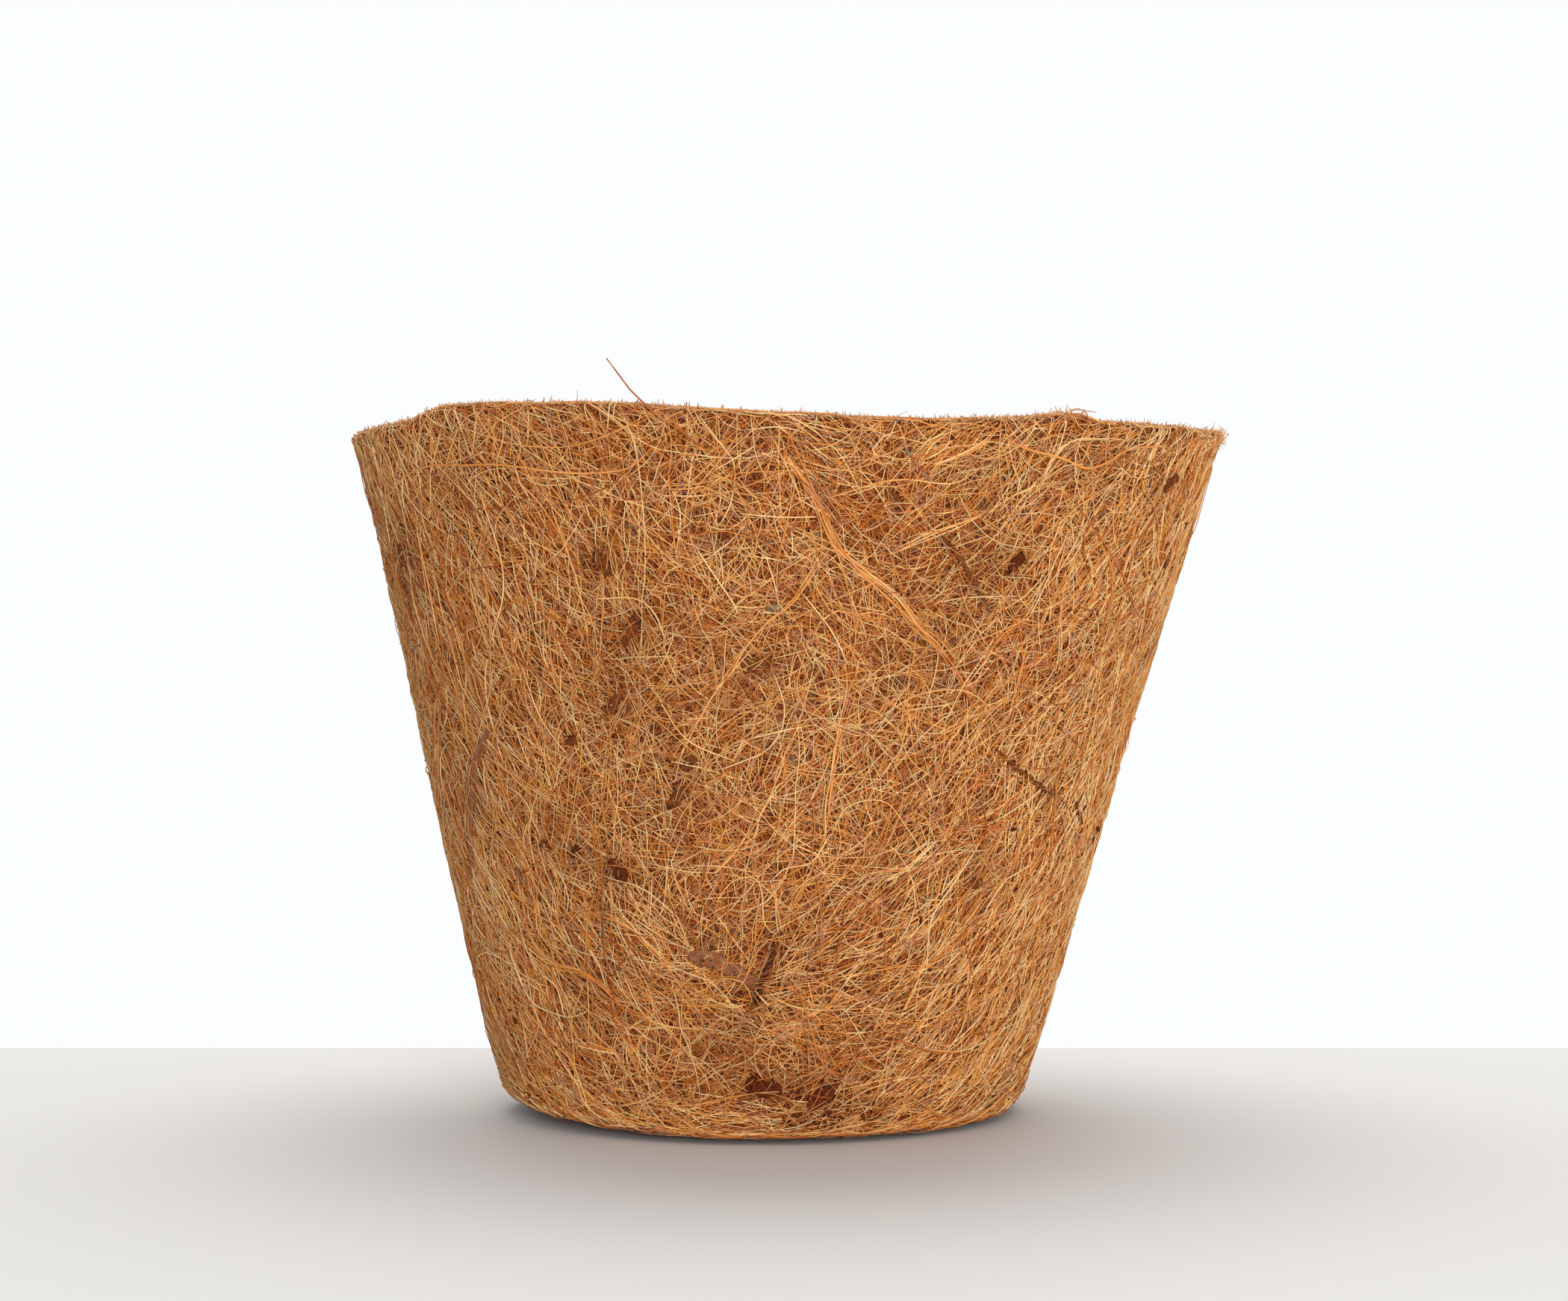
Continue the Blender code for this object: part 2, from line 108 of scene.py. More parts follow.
TOE_END = FOOT_CENTRE - TOE_LENGTH
BASE_FLAT = TOE_END - SEAT_GAP - BASE_STEP_WIDTH
SECTION_STEP = 0.0002
ARC_POINTS = 24
LIP_POINTS = 12


def cone_radius(height):
    return FOOT_RADIUS + TAPER * height


def ease(value, start, end):
    """0 before start, 1 after end, and a smooth rise between them."""
    share = np.clip((value - start) / (end - start), 0.0, 1.0)
    return share * share * (3.0 - 2.0 * share)


def degrees_from(turn, degrees):
    """Signed degrees from a direction to a turn, the short way round."""
    return (np.degrees(turn) - degrees + 180.0) % 360.0 - 180.0


def metres_from(turn, degrees, height):
    """Signed metres from a direction to a turn, level round the cone at a height."""
    return np.radians(degrees_from(turn, degrees)) * cone_radius(height)


def rim_rise(turn):
    """How far the trimmed rim is above the cone's even mouth."""
    rise = np.zeros_like(turn)
    for middle, left, right, height in RIM_RISES:
        away = degrees_from(turn, middle)
        near = np.clip(away / np.where(away < 0.0, left, right), -1.0, 1.0)
        rise += height * 0.5 * (1.0 + np.cos(math.pi * near))
    return rise


def tuck_share(height):
    """How far up the tuck a height is: 0 at its foot and 1 at its top."""
    return np.clip((height - TUCK_FOOT[1]) / (TUCK_TOP[1] - TUCK_FOOT[1]), 0.0, 1.0)


def crease_degrees(height):
    """Where the tuck's crease is at a height: a soft S down the front."""
    return TUCK_FOOT[0] + (TUCK_TOP[0] - TUCK_FOOT[0]) * ease(tuck_share(height), *TUCK_BEND)


def tuck_relief(turn, height):
    """The tuck: a crease between two folds of spare felt."""
    away = metres_from(turn, crease_degrees(height), height)
    crease = -TUCK_DEPTH * np.exp(-((away / TUCK_WIDTH) ** 2))
    right = np.exp(-(((away - TUCK_FOLD_OFFSET) / TUCK_FOLD_WIDTH) ** 2))
    left = np.exp(-(((away + TUCK_FOLD_OFFSET) / TUCK_FOLD_WIDTH) ** 2))
    folds = TUCK_FOLD_HEIGHT * (right + TUCK_LEFT_FOLD * left)
    return np.sin(math.pi * tuck_share(height) ** TUCK_SWELL) * (crease + folds)


def pleat_relief(turn, height):
    """Soft pleats that fan out from the tuck's foot, up and to the right."""
    across = metres_from(turn, TUCK_FOOT[0], height)
    up = height - TUCK_FOOT[1]
    reach = np.clip((np.hypot(across, up) - PLEAT_START) / (PLEAT_REACH - PLEAT_START), 0.0, 1.0)
    bearing = np.clip(np.arctan2(up, across), 0.0, math.pi / 2.0)
    window = np.sin(math.pi * reach) * np.sin(2.0 * bearing)
    return PLEAT_HEIGHT * window * np.sin(PLEATS_PER_TURN * bearing)


def press(radius, turn, height):
    """Where a point of the true cone lies on the real pot: leaning, uneven, tucked."""
    share = height / WALL_HEIGHT
    depth = np.clip((cone_radius(height) - radius) / LEVEL_THICKNESS, 0.0, 1.0)
    on_wall = ease(radius, BASE_FLAT, TOE_END - SEAT_GAP)
    oval = OVALITY * np.cos(2.0 * (turn - OVAL_TURN))
    oval = oval + THREE_SIDEDNESS * np.cos(3.0 * turn + THREE_SIDED_PHASE)
    wave = SURFACE_WAVE * np.sin(WAVES_ROUND * turn + WAVES_UP * share)
    wave = wave * np.sin(math.pi * np.clip(share, 0.0, 1.0))
    relief = wave + tuck_relief(turn, height) + pleat_relief(turn, height)
    relief = relief * (1.0 - (1.0 - TUCK_SHOWS_INSIDE) * depth)
    climb = rim_rise(turn) * ease(share, RIM_CLIMB_START, 1.0)
    lift = FOOT_RISE + FOOT_LIFT * np.clip(np.cos(turn - FOOT_LIFT_TURN), 0.0, 1.0) ** 2
    lift = lift * (1.0 - ease(share, 0.0, FOOT_LIFT_END)) * on_wall
    out = share * oval * on_wall + relief * on_wall + TAPER * climb
    x = LEAN * (share - 1.0) + (radius + out) * np.sin(turn)
    y = -(radius + out) * np.cos(turn)
    return np.stack([x, y, height + climb + lift], axis=-1)


def arc(centre, radius, start, end):
    """Section points round an arc, from one angle to another, in degrees."""
    turns = np.radians(np.linspace(start, end, ARC_POINTS))
    return list(zip(centre[0] + radius * np.cos(turns), centre[1] + radius * np.sin(turns)))


def lip_flare(height):
    """How far the lip stands out from the cone."""
    return LIP_FLARE * ease(height, LIP_START, WALL_HEIGHT)


def felt_section():
    """The section's line, cut into even steps: run, radius, height and outward normal."""
    lip = [(cone_radius(height) + float(lip_flare(height)), height)
           for height in np.linspace(LIP_START, WALL_HEIGHT - RIM_ROUNDING, LIP_POINTS)]
    centre = (FOOT_CENTRE, FOOT_ROUNDING)
    wall_side = -math.degrees(SLOPE)
    outer_rim = (lip[-1][0] - RIM_ROUNDING, WALL_HEIGHT - RIM_ROUNDING)
    inner_rim = (cone_radius(WALL_HEIGHT) - LEVEL_THICKNESS + RIM_ROUNDING, WALL_HEIGHT - RIM_ROUNDING)
    line = [(TOE_END, 0.0)] + arc(centre, FOOT_ROUNDING, -90.0, wall_side) + lip
    line += arc(outer_rim, RIM_ROUNDING, 0.0, 90.0) + arc(inner_rim, RIM_ROUNDING, 90.0, 180.0)
    line += arc(centre, FOOT_ROUNDING - FELT_THICKNESS, wall_side, -90.0) + [(TOE_END, FELT_THICKNESS)]
    line = np.array(line)
    steps = np.hypot(*np.diff(line, axis=0).T)
    reached = np.concatenate([[0.0], np.cumsum(steps)])
    even = np.arange(0.0, reached[-1], SECTION_STEP)
    radius = np.interp(even, reached, line[:, 0])
    height = np.interp(even, reached, line[:, 1])
    smooth = np.ones(5) / 5.0
    step_r = np.convolve(np.pad(np.gradient(radius), 2, mode="edge"), smooth, mode="valid")
    step_h = np.convolve(np.pad(np.gradient(height), 2, mode="edge"), smooth, mode="valid")
    size = np.hypot(step_r, step_h)
    return even, radius, height, step_h / size, -step_r / size


RUN, RUN_RADIUS, RUN_HEIGHT, RUN_OUT, RUN_UP = felt_section()
# WALL_RUN is the run at which the wall would stand on the table if it were straight right down.
STRAIGHT_FROM = 0.02
LOW_POINTS = 400
low_run = float(np.interp(STRAIGHT_FROM, RUN_HEIGHT[:LOW_POINTS], RUN[:LOW_POINTS]))
WALL_RUN = low_run - STRAIGHT_FROM / math.cos(SLOPE)
RIM_RUN = float(RUN[int(np.argmax(RUN_HEIGHT >= WALL_HEIGHT - 0.0001))])
INNER_RUN = RIM_RUN + LEVEL_THICKNESS - RIM_ROUNDING
END_RUN = float(RUN[-1])


def run_at(share):
    """The run of a place on the outer face, from its height as a share of the wall's."""
    return WALL_RUN + np.asarray(share, float) * WALL_HEIGHT / math.cos(SLOPE)


def felt_point(turn, run, out):
    """A point over the felt: out metres off its face, along the face's own normal."""
    radius = np.interp(run, RUN, RUN_RADIUS) + out * np.interp(run, RUN, RUN_OUT)
    height = np.interp(run, RUN, RUN_HEIGHT) + out * np.interp(run, RUN, RUN_UP)
    return press(radius, turn, height) + SHIFT


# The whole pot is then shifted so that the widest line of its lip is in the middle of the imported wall's box.
LIP_DROP = 0.0014
SHIFT = np.zeros(3)
lip_turns = np.radians(np.arange(0.0, 360.0, 0.5))
lip_line = felt_point(lip_turns, np.full_like(lip_turns, RIM_RUN - LIP_DROP), np.zeros_like(lip_turns))
wall_low, wall_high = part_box("wall_felt")
SHIFT = np.array([
    (wall_low.x + wall_high.x - lip_line[:, 0].min() - lip_line[:, 0].max()) / 2.0,
    (wall_low.y + wall_high.y - lip_line[:, 1].min() - lip_line[:, 1].max()) / 2.0,
    0.0,
])


MIDDLE_RADIUS = 0.08


def patchy(turn, run, size, seed):
    """Smooth random patches of one size all over the felt, from -1 to 1."""
    across = max(4, round(math.tau * MIDDLE_RADIUS / size))
    along = round(END_RUN / size) + 4
    grid = np.random.default_rng(seed).uniform(-1.0, 1.0, (across, along))
    u = (turn / math.tau % 1.0) * across
    v = np.clip(run / size + 1.0, 0.0, along - 2.001)
    i = np.floor(u).astype(int)
    j = np.floor(v).astype(int)
    fu = (u - i) ** 2 * (3.0 - 2.0 * (u - i))
    fv = (v - j) ** 2 * (3.0 - 2.0 * (v - j))
    low = grid[i % across, j] * (1.0 - fu) + grid[(i + 1) % across, j] * fu
    high = grid[i % across, j + 1] * (1.0 - fu) + grid[(i + 1) % across, j + 1] * fu
    return low * (1.0 - fv) + high * fv


def linear(hex_colour):
    """An sRGB hex value as linear light."""
    parts = [int(hex_colour[at:at + 2], 16) / 255.0 for at in (1, 3, 5)]
    return [p / 12.92 if p <= 0.04045 else ((p + 0.055) / 1.055) ** 2.4 for p in parts] + [1.0]


def add_node(tree, kind, inputs=None, stops=None, **settings):
    """Add a node: its own settings, a ramp's stops, and its inputs' values or links."""
    node = tree.nodes.new(kind)
    for name, value in settings.items():
        setattr(node, name, value)
    for number, (place, hex_colour) in enumerate(stops or ()):
        if number > 1:
            node.color_ramp.elements.new(place)
        node.color_ramp.elements[number].position = place
        node.color_ramp.elements[number].color = linear(hex_colour)
    for socket, value in (inputs or {}).items():
        if isinstance(value, bpy.types.NodeSocket):
            tree.links.new(value, node.inputs[socket])
        else:
            node.inputs[socket].default_value = value
    return node


def new_material(name, roughness, ior, specular=0.5):
    """A material, the tree to add its nodes to, and its Principled shader."""
    material = bpy.data.materials.new(name)
    material.use_nodes = True
    shader = material.node_tree.nodes["Principled BSDF"]
    shader.inputs["Roughness"].default_value = roughness
    shader.inputs["IOR"].default_value = ior
    shader.inputs["Specular IOR Level"].default_value = specular
    return material, material.node_tree, shader


# Latex-bonded coir felt, pressed: matt, brown where latex and dust fill the gaps, with fine streaks of
# fibre, about 11 mm long, that cross at all angles. Its browns are also darker than the felt's own, as painted
# shade in the gaps between the fibres, where it shows. Fibre is 0.3 mm thick; the streaks are drawn at 0.5 mm
# so that they show.
felt_and_gap_shade_finish, tree, shader = new_material("pressed coir felt with painted gap shade", 0.9, 1.5, 0.12)
STREAK_WIDTH = 0.0005
STREAK_LENGTH = 1.0 / 90.0
STREAK_DEPTH = 0.0003
where = add_node(tree, "ShaderNodeTexCoord").outputs["Object"]
heights = []
for spin, seed in ((0.35, 1.0), (1.25, 4.0), (2.15, 7.0), (2.85, 9.0)):
    lay = add_node(tree, "ShaderNodeMapping", {
        "Vector": where, "Location": (seed, seed, 0.0), "Rotation": (spin, spin * 0.6, 0.3),
        "Scale": (1.0 / STREAK_WIDTH, 1.0 / STREAK_LENGTH, 1.0 / STREAK_WIDTH)})
    streak = add_node(tree, "ShaderNodeTexNoise", {
        "Vector": lay.outputs["Vector"], "Scale": 1.0, "Detail": 1.0})
    heights.append(streak.outputs["Fac"])
crossed = heights[0]
for height in heights[1:]:
    higher = add_node(tree, "ShaderNodeMath", {0: crossed, 1: height}, operation="MAXIMUM")
    crossed = higher.outputs["Value"]
# Painted shade: the darkest stops stand for the shade in the gaps between the fibres.
felt_and_gap_shade_ramp = add_node(tree, "ShaderNodeValToRGB", {"Fac": crossed}, stops=(
    (0.48, "#35150a"), (0.58, "#5a2a12"), (0.67, "#824822"), (0.80, "#a96a34")))
tree.links.new(felt_and_gap_shade_ramp.outputs["Color"], shader.inputs["Base Color"])
felt_bump = add_node(tree, "ShaderNodeBump", {
    "Height": crossed, "Strength": 0.8, "Distance": STREAK_DEPTH})
tree.links.new(felt_bump.outputs["Normal"], shader.inputs["Normal"])

BODY_ROWS = 230
BODY_SUNK = 0.00055
# The felt's lumps, and those of its ragged cut rim: height, size across and seed.
FACE_LUMPS = ((0.00022, 0.0045, 11), (0.00012, 0.0018, 12))
RIM_LUMPS = ((0.00035, 0.0026, 13), (0.00030, 0.0110, 14))
RIM_LUMPS_MIDDLE = 0.0010
RIM_LUMPS_REACH = 0.0022
# The bottom of the tuck's crease, and the shares of the tuck's height where it comes in and goes out.
CREASE_DEPTH = 0.0013
CREASE_WIDTH = 0.0005
CREASE_IN = (0.22, 0.44)
CREASE_OUT = (0.62, 0.90)
# The body's columns are closer together at the front, where the crease is.
BODY_TURNS = np.radians(np.concatenate([np.arange(-10.0, 10.0, 0.25), np.arange(10.0, 350.0, 1.0)]))


def crease_near(turn, run):
    """1 in the narrow bottom of the tuck's crease and 0 away from it."""
    height = np.interp(run, RUN, RUN_HEIGHT)
    share = tuck_share(height)
    away = metres_from(turn, crease_degrees(height), height)
    near = np.exp(-((away / CREASE_WIDTH) ** 2)) * ease(share, *CREASE_IN)
    near = near * (1.0 - ease(share, *CREASE_OUT))
    return np.where(run < RIM_RUN, near, 0.0)


def link_mesh(name, points, corners, starts, material):
    """A smooth piece from plain arrays: points, the faces' corners, and where each face starts."""
    mesh = bpy.data.meshes.new(name)
    mesh.vertices.add(points.size // 3)
    mesh.vertices.foreach_set("co", points.astype(np.float32).ravel())
    mesh.loops.add(corners.size)
    mesh.loops.foreach_set("vertex_index", corners.astype(np.int32).ravel())
    mesh.polygons.add(len(starts))
    mesh.polygons.foreach_set("loop_start", np.asarray(starts, np.int32))
    mesh.update(calc_edges=True)
    mesh.polygons.foreach_set("use_smooth", np.ones(len(starts), bool))
    mesh.materials.append(material)
    piece = bpy.data.objects.new(name, mesh)
    bpy.context.scene.collection.objects.link(piece)
    return piece


def wrapped_piece(name, points, material):
    """A piece of quads over a grid of points that closes on itself both ways."""
    here = np.arange(points.size // 3).reshape(points.shape[:2])
    right = np.roll(here, -1, axis=1)
    corners = np.stack([here, right, np.roll(right, -1, axis=0), np.roll(here, -1, axis=0)], axis=-1)
    return link_mesh(name, points, corners, range(0, corners.size, 4), material)


body_turn, body_run = np.meshgrid(BODY_TURNS, np.linspace(0.0, END_RUN, BODY_ROWS))
body_out = -CREASE_DEPTH * crease_near(body_turn, body_run)
for height, size, seed in FACE_LUMPS:
    body_out += height * patchy(body_turn, body_run, size, seed)
rim_near = np.exp(-(((body_run - RIM_RUN - RIM_LUMPS_MIDDLE) / RIM_LUMPS_REACH) ** 2))
for height, size, seed in RIM_LUMPS:
    body_out += rim_near * height * patchy(body_turn, 0.0 * body_run, size, seed)
body_points = felt_point(body_turn, body_run, body_out - BODY_SUNK)
felt_body = wrapped_piece("felt_side_blank", body_points, felt_and_gap_shade_finish)
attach(felt_body, "root")
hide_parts("wall_felt")

# The base. The real piece is a disc of the same felt, pressed into the ring so that its stepped edge seats on
# the turned-in toe. Its middle is flush with the table and its top is the pot's inside floor.
BASE_THICKNESS = 0.0036
BASE_CHAMFER = 0.0006
BASE_MIDDLE = 0.0004
BASE_COLUMNS = 180
BASE_ROW = 0.0012
# The mesh lies a little inside the disc's faces, under its fibres, and its top has lumps: sizes and seed.
BASE_TOP_STARTS = 0.55
BASE_TOP_SUNK = 0.0004
BASE_UNDER_SUNK = 0.0002
BASE_LUMPS = (0.0003, 0.0060, 21)
base_top = FELT_THICKNESS + SEAT_GAP + BASE_THICKNESS
base_side = float(cone_radius(base_top)) - LEVEL_THICKNESS - SEAT_GAP
seat_edge = TOE_END - SEAT_GAP
seat_rounding = FOOT_ROUNDING - FELT_THICKNESS - SEAT_GAP
seat_arc = arc((FOOT_CENTRE, FOOT_ROUNDING), seat_rounding, -90.0, -math.degrees(SLOPE))
base_line = np.array([
    (BASE_MIDDLE, 0.0), (BASE_FLAT, 0.0), (seat_edge - BASE_CHAMFER, 0.0), (seat_edge, BASE_CHAMFER),
    (seat_edge, FELT_THICKNESS + SEAT_GAP), *seat_arc, (base_side, base_top - BASE_CHAMFER),
    (base_side - BASE_CHAMFER, base_top), (BASE_FLAT, base_top),
    (BASE_FLAT - BASE_STEP_WIDTH, BASE_THICKNESS), (BASE_MIDDLE, BASE_THICKNESS)])
base_reach = np.concatenate([[0.0], np.cumsum(np.hypot(*np.diff(base_line, axis=0).T))])
base_rows = round(base_reach[-1] / BASE_ROW)
base_run = np.linspace(0.0, base_reach[-1], base_rows)
base_turn, base_along = np.meshgrid(np.linspace(0.0, math.tau, BASE_COLUMNS, endpoint=False), base_run)
base_radius = np.interp(base_along, base_reach, base_line[:, 0])
base_height = np.interp(base_along, base_reach, base_line[:, 1])
lump_height, lump_size, lump_seed = BASE_LUMPS
lumps = lump_height * patchy(base_turn, base_radius * 3.0, lump_size, lump_seed)
on_top = base_along > base_reach[-1] * BASE_TOP_STARTS
base_height = np.where(on_top, base_height - BASE_TOP_SUNK + lumps, base_height + BASE_UNDER_SUNK)
base_points = press(base_radius, base_turn, base_height) + SHIFT
base_body = wrapped_piece("felt_base_disc", base_points, felt_and_gap_shade_finish)
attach(base_body, "root")
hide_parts("base_disc")

# The lay of the fibres on the outer face. Real fibres lie where the carding and the press left them: combed
# down the flanks, fanned out from the tuck, level along the foot, and tangled in between.
LAY_DEGREES = 2.0
LAY_STEP = 0.002
LAY_REACH = 0.0085
# Each place: degrees from the front, share of the height, direction above level and spread in degrees.
LAY = (
    (-88, 0.90, -28, 45), (-88, 0.60, 26, 45), (-88, 0.30, -30, 45), (-76, 0.85, -30, 42),
    (-74, 0.55, 34, 42), (-72, 0.28, -34, 40), (-60, 0.90, -42, 40), (-58, 0.72, -46, 38),
    (-58, 0.50, -52, 42), (-56, 0.30, -44, 36), (-50, 0.98, -18, 55), (-48, 0.80, -54, 34),
    (-46, 0.60, -54, 38), (-44, 0.42, -56, 38), (-40, 0.28, -50, 36), (-36, 0.96, -26, 40),
    (-34, 0.86, -52, 36), (-33, 0.70, -56, 45), (-32, 0.52, -46, 55), (-26, 0.36, -54, 40),
    (-24, 0.94, -40, 40), (-20, 0.80, -58, 45), (-19, 0.60, -44, 65), (-18, 0.45, -50, 60),
    (-17, 0.25, -30, 34), (-25, 0.21, -36, 30), (-10, 0.21, -16, 30), (-40, 0.15, -56, 34),
    (-28, 0.12, -36, 60), (-12, 0.12, 58, 70), (-10, 0.96, -30, 50), (-8, 0.82, -44, 65),
    (-5, 0.92, 10, 55), (-4, 0.66, 40, 70), (-6, 0.50, 72, 60), (-8, 0.38, 66, 50), (-2, 0.34, 78, 40),
    (3, 0.90, -56, 26), (2, 0.78, 40, 80), (4, 0.60, 80, 65), (8, 0.46, 84, 60), (8, 0.36, 60, 60),
    (10, 0.80, -48, 40), (12, 0.92, 8, 60), (16, 0.68, -46, 50), (19, 0.96, 34, 34), (18, 0.86, 0, 60),
    (20, 0.55, -40, 80), (24, 0.97, 30, 34), (30, 0.99, 88, 70), (26, 0.76, 20, 70), (33, 0.86, 48, 60),
    (34, 0.62, 56, 60), (34, 0.48, 62, 55), (42, 0.93, 6, 34), (44, 0.80, 48, 50), (48, 0.66, 38, 50),
    (46, 0.46, 50, 42), (54, 0.97, 18, 42), (52, 0.86, 28, 50), (58, 0.55, 48, 42), (64, 0.84, 24, 46),
    (68, 0.66, 30, 46), (66, 0.34, 42, 40), (78, 0.90, 26, 46), (84, 0.60, 28, 46), (86, 0.30, 30, 46),
    (5, 0.27, 34, 26), (6, 0.22, 20, 26), (12, 0.31, 38, 28), (14, 0.24, 26, 26), (20, 0.35, 44, 30),
    (22, 0.27, 40, 26), (30, 0.38, 48, 34), (32, 0.28, 50, 30), (40, 0.33, 54, 30), (44, 0.22, 54, 28),
    (5, 0.16, -30, 30), (12, 0.15, -34, 36), (22, 0.15, 6, 40), (33, 0.17, 36, 24), (14, 0.08, 40, 60),
    (26, 0.07, 32, 26), (40, 0.09, 38, 22), (54, 0.08, 40, 24), (-60, 0.10, -50, 26), (-46, 0.06, -30, 26),
    (-30, 0.04, -16, 24), (-16, 0.01, -3, 10), (0, 0.01, 0, 10), (16, 0.01, 4, 10), (34, 0.01, 8, 12),
    (56, 0.01, 12, 14), (-60, 0.01, -12, 14), (90, 0.02, 6, 18), (120, 0.02, 0, 14), (150, 0.02, 0, 14),
    (180, 0.02, 0, 14), (-150, 0.02, 0, 14), (-120, 0.02, 0, 14), (104, 0.86, 60, 40), (106, 0.50, -66, 38),
    (104, 0.20, 60, 34), (126, 0.72, 52, 50), (128, 0.36, -52, 40), (148, 0.90, 10, 50),
    (150, 0.56, -36, 60), (150, 0.22, 44, 36), (172, 0.74, -60, 50), (174, 0.40, 24, 60),
    (-166, 0.18, -34, 36), (-164, 0.88, 36, 50), (-160, 0.58, 70, 55), (-142, 0.36, -44, 40),
    (-140, 0.76, -40, 50), (-120, 0.56, 62, 40), (-118, 0.22, -60, 30), (-112, 0.88, -58, 38),
    (-104, 0.50, 62, 36), (-11, 0.31, 72, 42), (-18, 0.33, -66, 44),
)
lay_columns = np.radians(np.arange(-180.0, 180.0, LAY_DEGREES))
lay_rows = np.arange(0.0, RIM_RUN + LAY_STEP, LAY_STEP)
lay_turns, lay_runs = np.meshgrid(lay_columns, lay_rows, indexing="ij")
lay_cos = np.zeros_like(lay_turns)
lay_sin = np.zeros_like(lay_turns)
lay_spread = np.zeros_like(lay_turns)
lay_weight = np.full_like(lay_turns, 1e-9)
for degrees, share, direction, spread in LAY:
    away = np.hypot(metres_from(lay_turns, degrees, share * WALL_HEIGHT), lay_runs - run_at(share))
    weight = np.exp(-((away / LAY_REACH) ** 2)) + 1e-4 / (1.0 + (away / 0.01) ** 4)
    lay_cos += weight * math.cos(2.0 * math.radians(direction))
    lay_sin += weight * math.sin(2.0 * math.radians(direction))
    lay_spread += weight * math.radians(spread)
    lay_weight += weight
LAY_DIRECTION = 0.5 * np.arctan2(lay_sin, lay_cos)
LAY_SPREAD = lay_spread / lay_weight


def lay_at(turn, run):
    """The fibres' main direction on the outer face, and how far they stray from it."""
    columns, rows = LAY_DIRECTION.shape
    column = (np.round(np.degrees(turn) / LAY_DEGREES).astype(int) + columns // 2) % columns
    row = np.clip(np.round(run / LAY_STEP).astype(int), 0, rows - 1)
    return LAY_DIRECTION[column, row], LAY_SPREAD[column, row]


def half_turn(angle):
    """An angle brought to within a quarter turn either way, since a fibre has no front."""
    return (angle + math.pi / 2.0) % math.pi - math.pi / 2.0


# Between which shares of the tuck's height its crease cuts the fibres, how far from it a fibre's room is
# measured, how far from it a fibre can be reached at all, and how far a cut end overhangs it.
CUTS_IN = (0.26, 0.38)
CUTS_OUT = (0.66, 0.80)
CREASE_REACH = 0.02
FRONT_REACH = 0.05
CREASE_OVERHANG = 0.0001


def crease_room(turns, runs, middle):
    """How far each point is from the tuck's crease, less than 0 where the fibre has crossed it."""
    height = np.interp(runs, RUN, RUN_HEIGHT)
    share = tuck_share(height)
    away = metres_from(turns, crease_degrees(height), height)
    cuts = ease(share, *CUTS_IN) * (1.0 - ease(share, *CUTS_OUT))
    cuts = cuts * (runs < RIM_RUN) * (np.abs(away) < FRONT_REACH)
    own_side = np.sign(away[:, middle:middle + 1])
    room = own_side * np.clip(away, -CREASE_REACH, CREASE_REACH)
    return room + CREASE_OVERHANG + FRONT_REACH * (1.0 - cuts)


def cut_at(room, middle, count, sign):
    """The whole and part steps from the middle to where the room runs out, one way."""
    rows = np.arange(len(room))
    last = middle + sign * np.maximum(count, 0)
    beyond = np.clip(last + sign, 0, room.shape[1] - 1)
    inner = room[rows, last]
    part = np.clip(inner / np.maximum(inner - room[rows, beyond], 1e-9), 0.0, 1.0)
    return count + np.where(beyond == last, 0.0, part)


# How much a fibre's heading strays over a length, how sharply the lay may turn it at one point, and the
# shortest piece that is kept after the cuts.
STRAY = 0.11
STRAY_LENGTH = 0.004
SHARPEST_TURN = 0.5
SHORTEST_FIBRE = 0.002


def grow(dice, turn, run, heading, length, curl, points, low_run, high_run, follow, crosses=True):
    """Lay fibres out both ways from their middles, bending with the lay and with their own curl, and cut
    them at the felt's edges, and at the tuck's crease unless they cross under it."""
    middle = points // 2
    turns = np.zeros((len(turn), points))
    runs = np.zeros((len(turn), points))
    turns[:, middle] = turn
    runs[:, middle] = run
    step = length / (points - 1)
    drift = dice.normal(0.0, 1.0, (len(turn), points)) * np.sqrt(step / STRAY_LENGTH)[:, None] * STRAY
    for sign in (1, -1):
        here_turn = turn.copy()
        here_run = run.copy()
        here_heading = heading.copy()
        direction = lay_at(here_turn, here_run)[0]
        for index in range(1, middle + 1):
            here_heading = here_heading + sign * curl * step + drift[:, middle + sign * index]
            radius = np.interp(here_run, RUN, RUN_RADIUS)
            here_turn = here_turn + sign * step * np.cos(here_heading) / radius
            here_run = here_run + sign * step * np.sin(here_heading)
            if follow:
                ahead = lay_at(here_turn, here_run)[0]
                bend = np.clip(half_turn(ahead - direction), -SHARPEST_TURN, SHARPEST_TURN)
                here_heading = here_heading + follow * bend
                direction = ahead
            turns[:, middle + sign * index] = here_turn
            runs[:, middle + sign * index] = here_run
    room = np.minimum(runs - low_run, high_run - runs)
    if not crosses:
        room = np.minimum(room, crease_room(turns, runs, middle))
    inside = room > 0.0
    back = np.logical_and.accumulate(inside[:, middle::-1], axis=1).sum(axis=1) - 1
    ahead = np.logical_and.accumulate(inside[:, middle:], axis=1).sum(axis=1) - 1
    back = cut_at(room, middle, back, -1)
    ahead = cut_at(room, middle, ahead, 1)
    kept = inside[:, middle] & ((back + ahead) * step > SHORTEST_FIBRE)
    place = middle - back[:, None] + (back + ahead)[:, None] * np.linspace(0.0, 1.0, points)[None, :]
    low = np.clip(np.floor(place).astype(int), 0, points - 2)
    share = place - low
    rows = np.arange(len(turn))[:, None]
    turns = turns[rows, low] * (1.0 - share) + turns[rows, low + 1] * share
    runs = runs[rows, low] * (1.0 - share) + runs[rows, low + 1] * share
    return turns[kept], runs[kept], kept


def unit(vectors):
    return vectors / np.maximum(np.linalg.norm(vectors, axis=-1, keepdims=True), 1e-12)


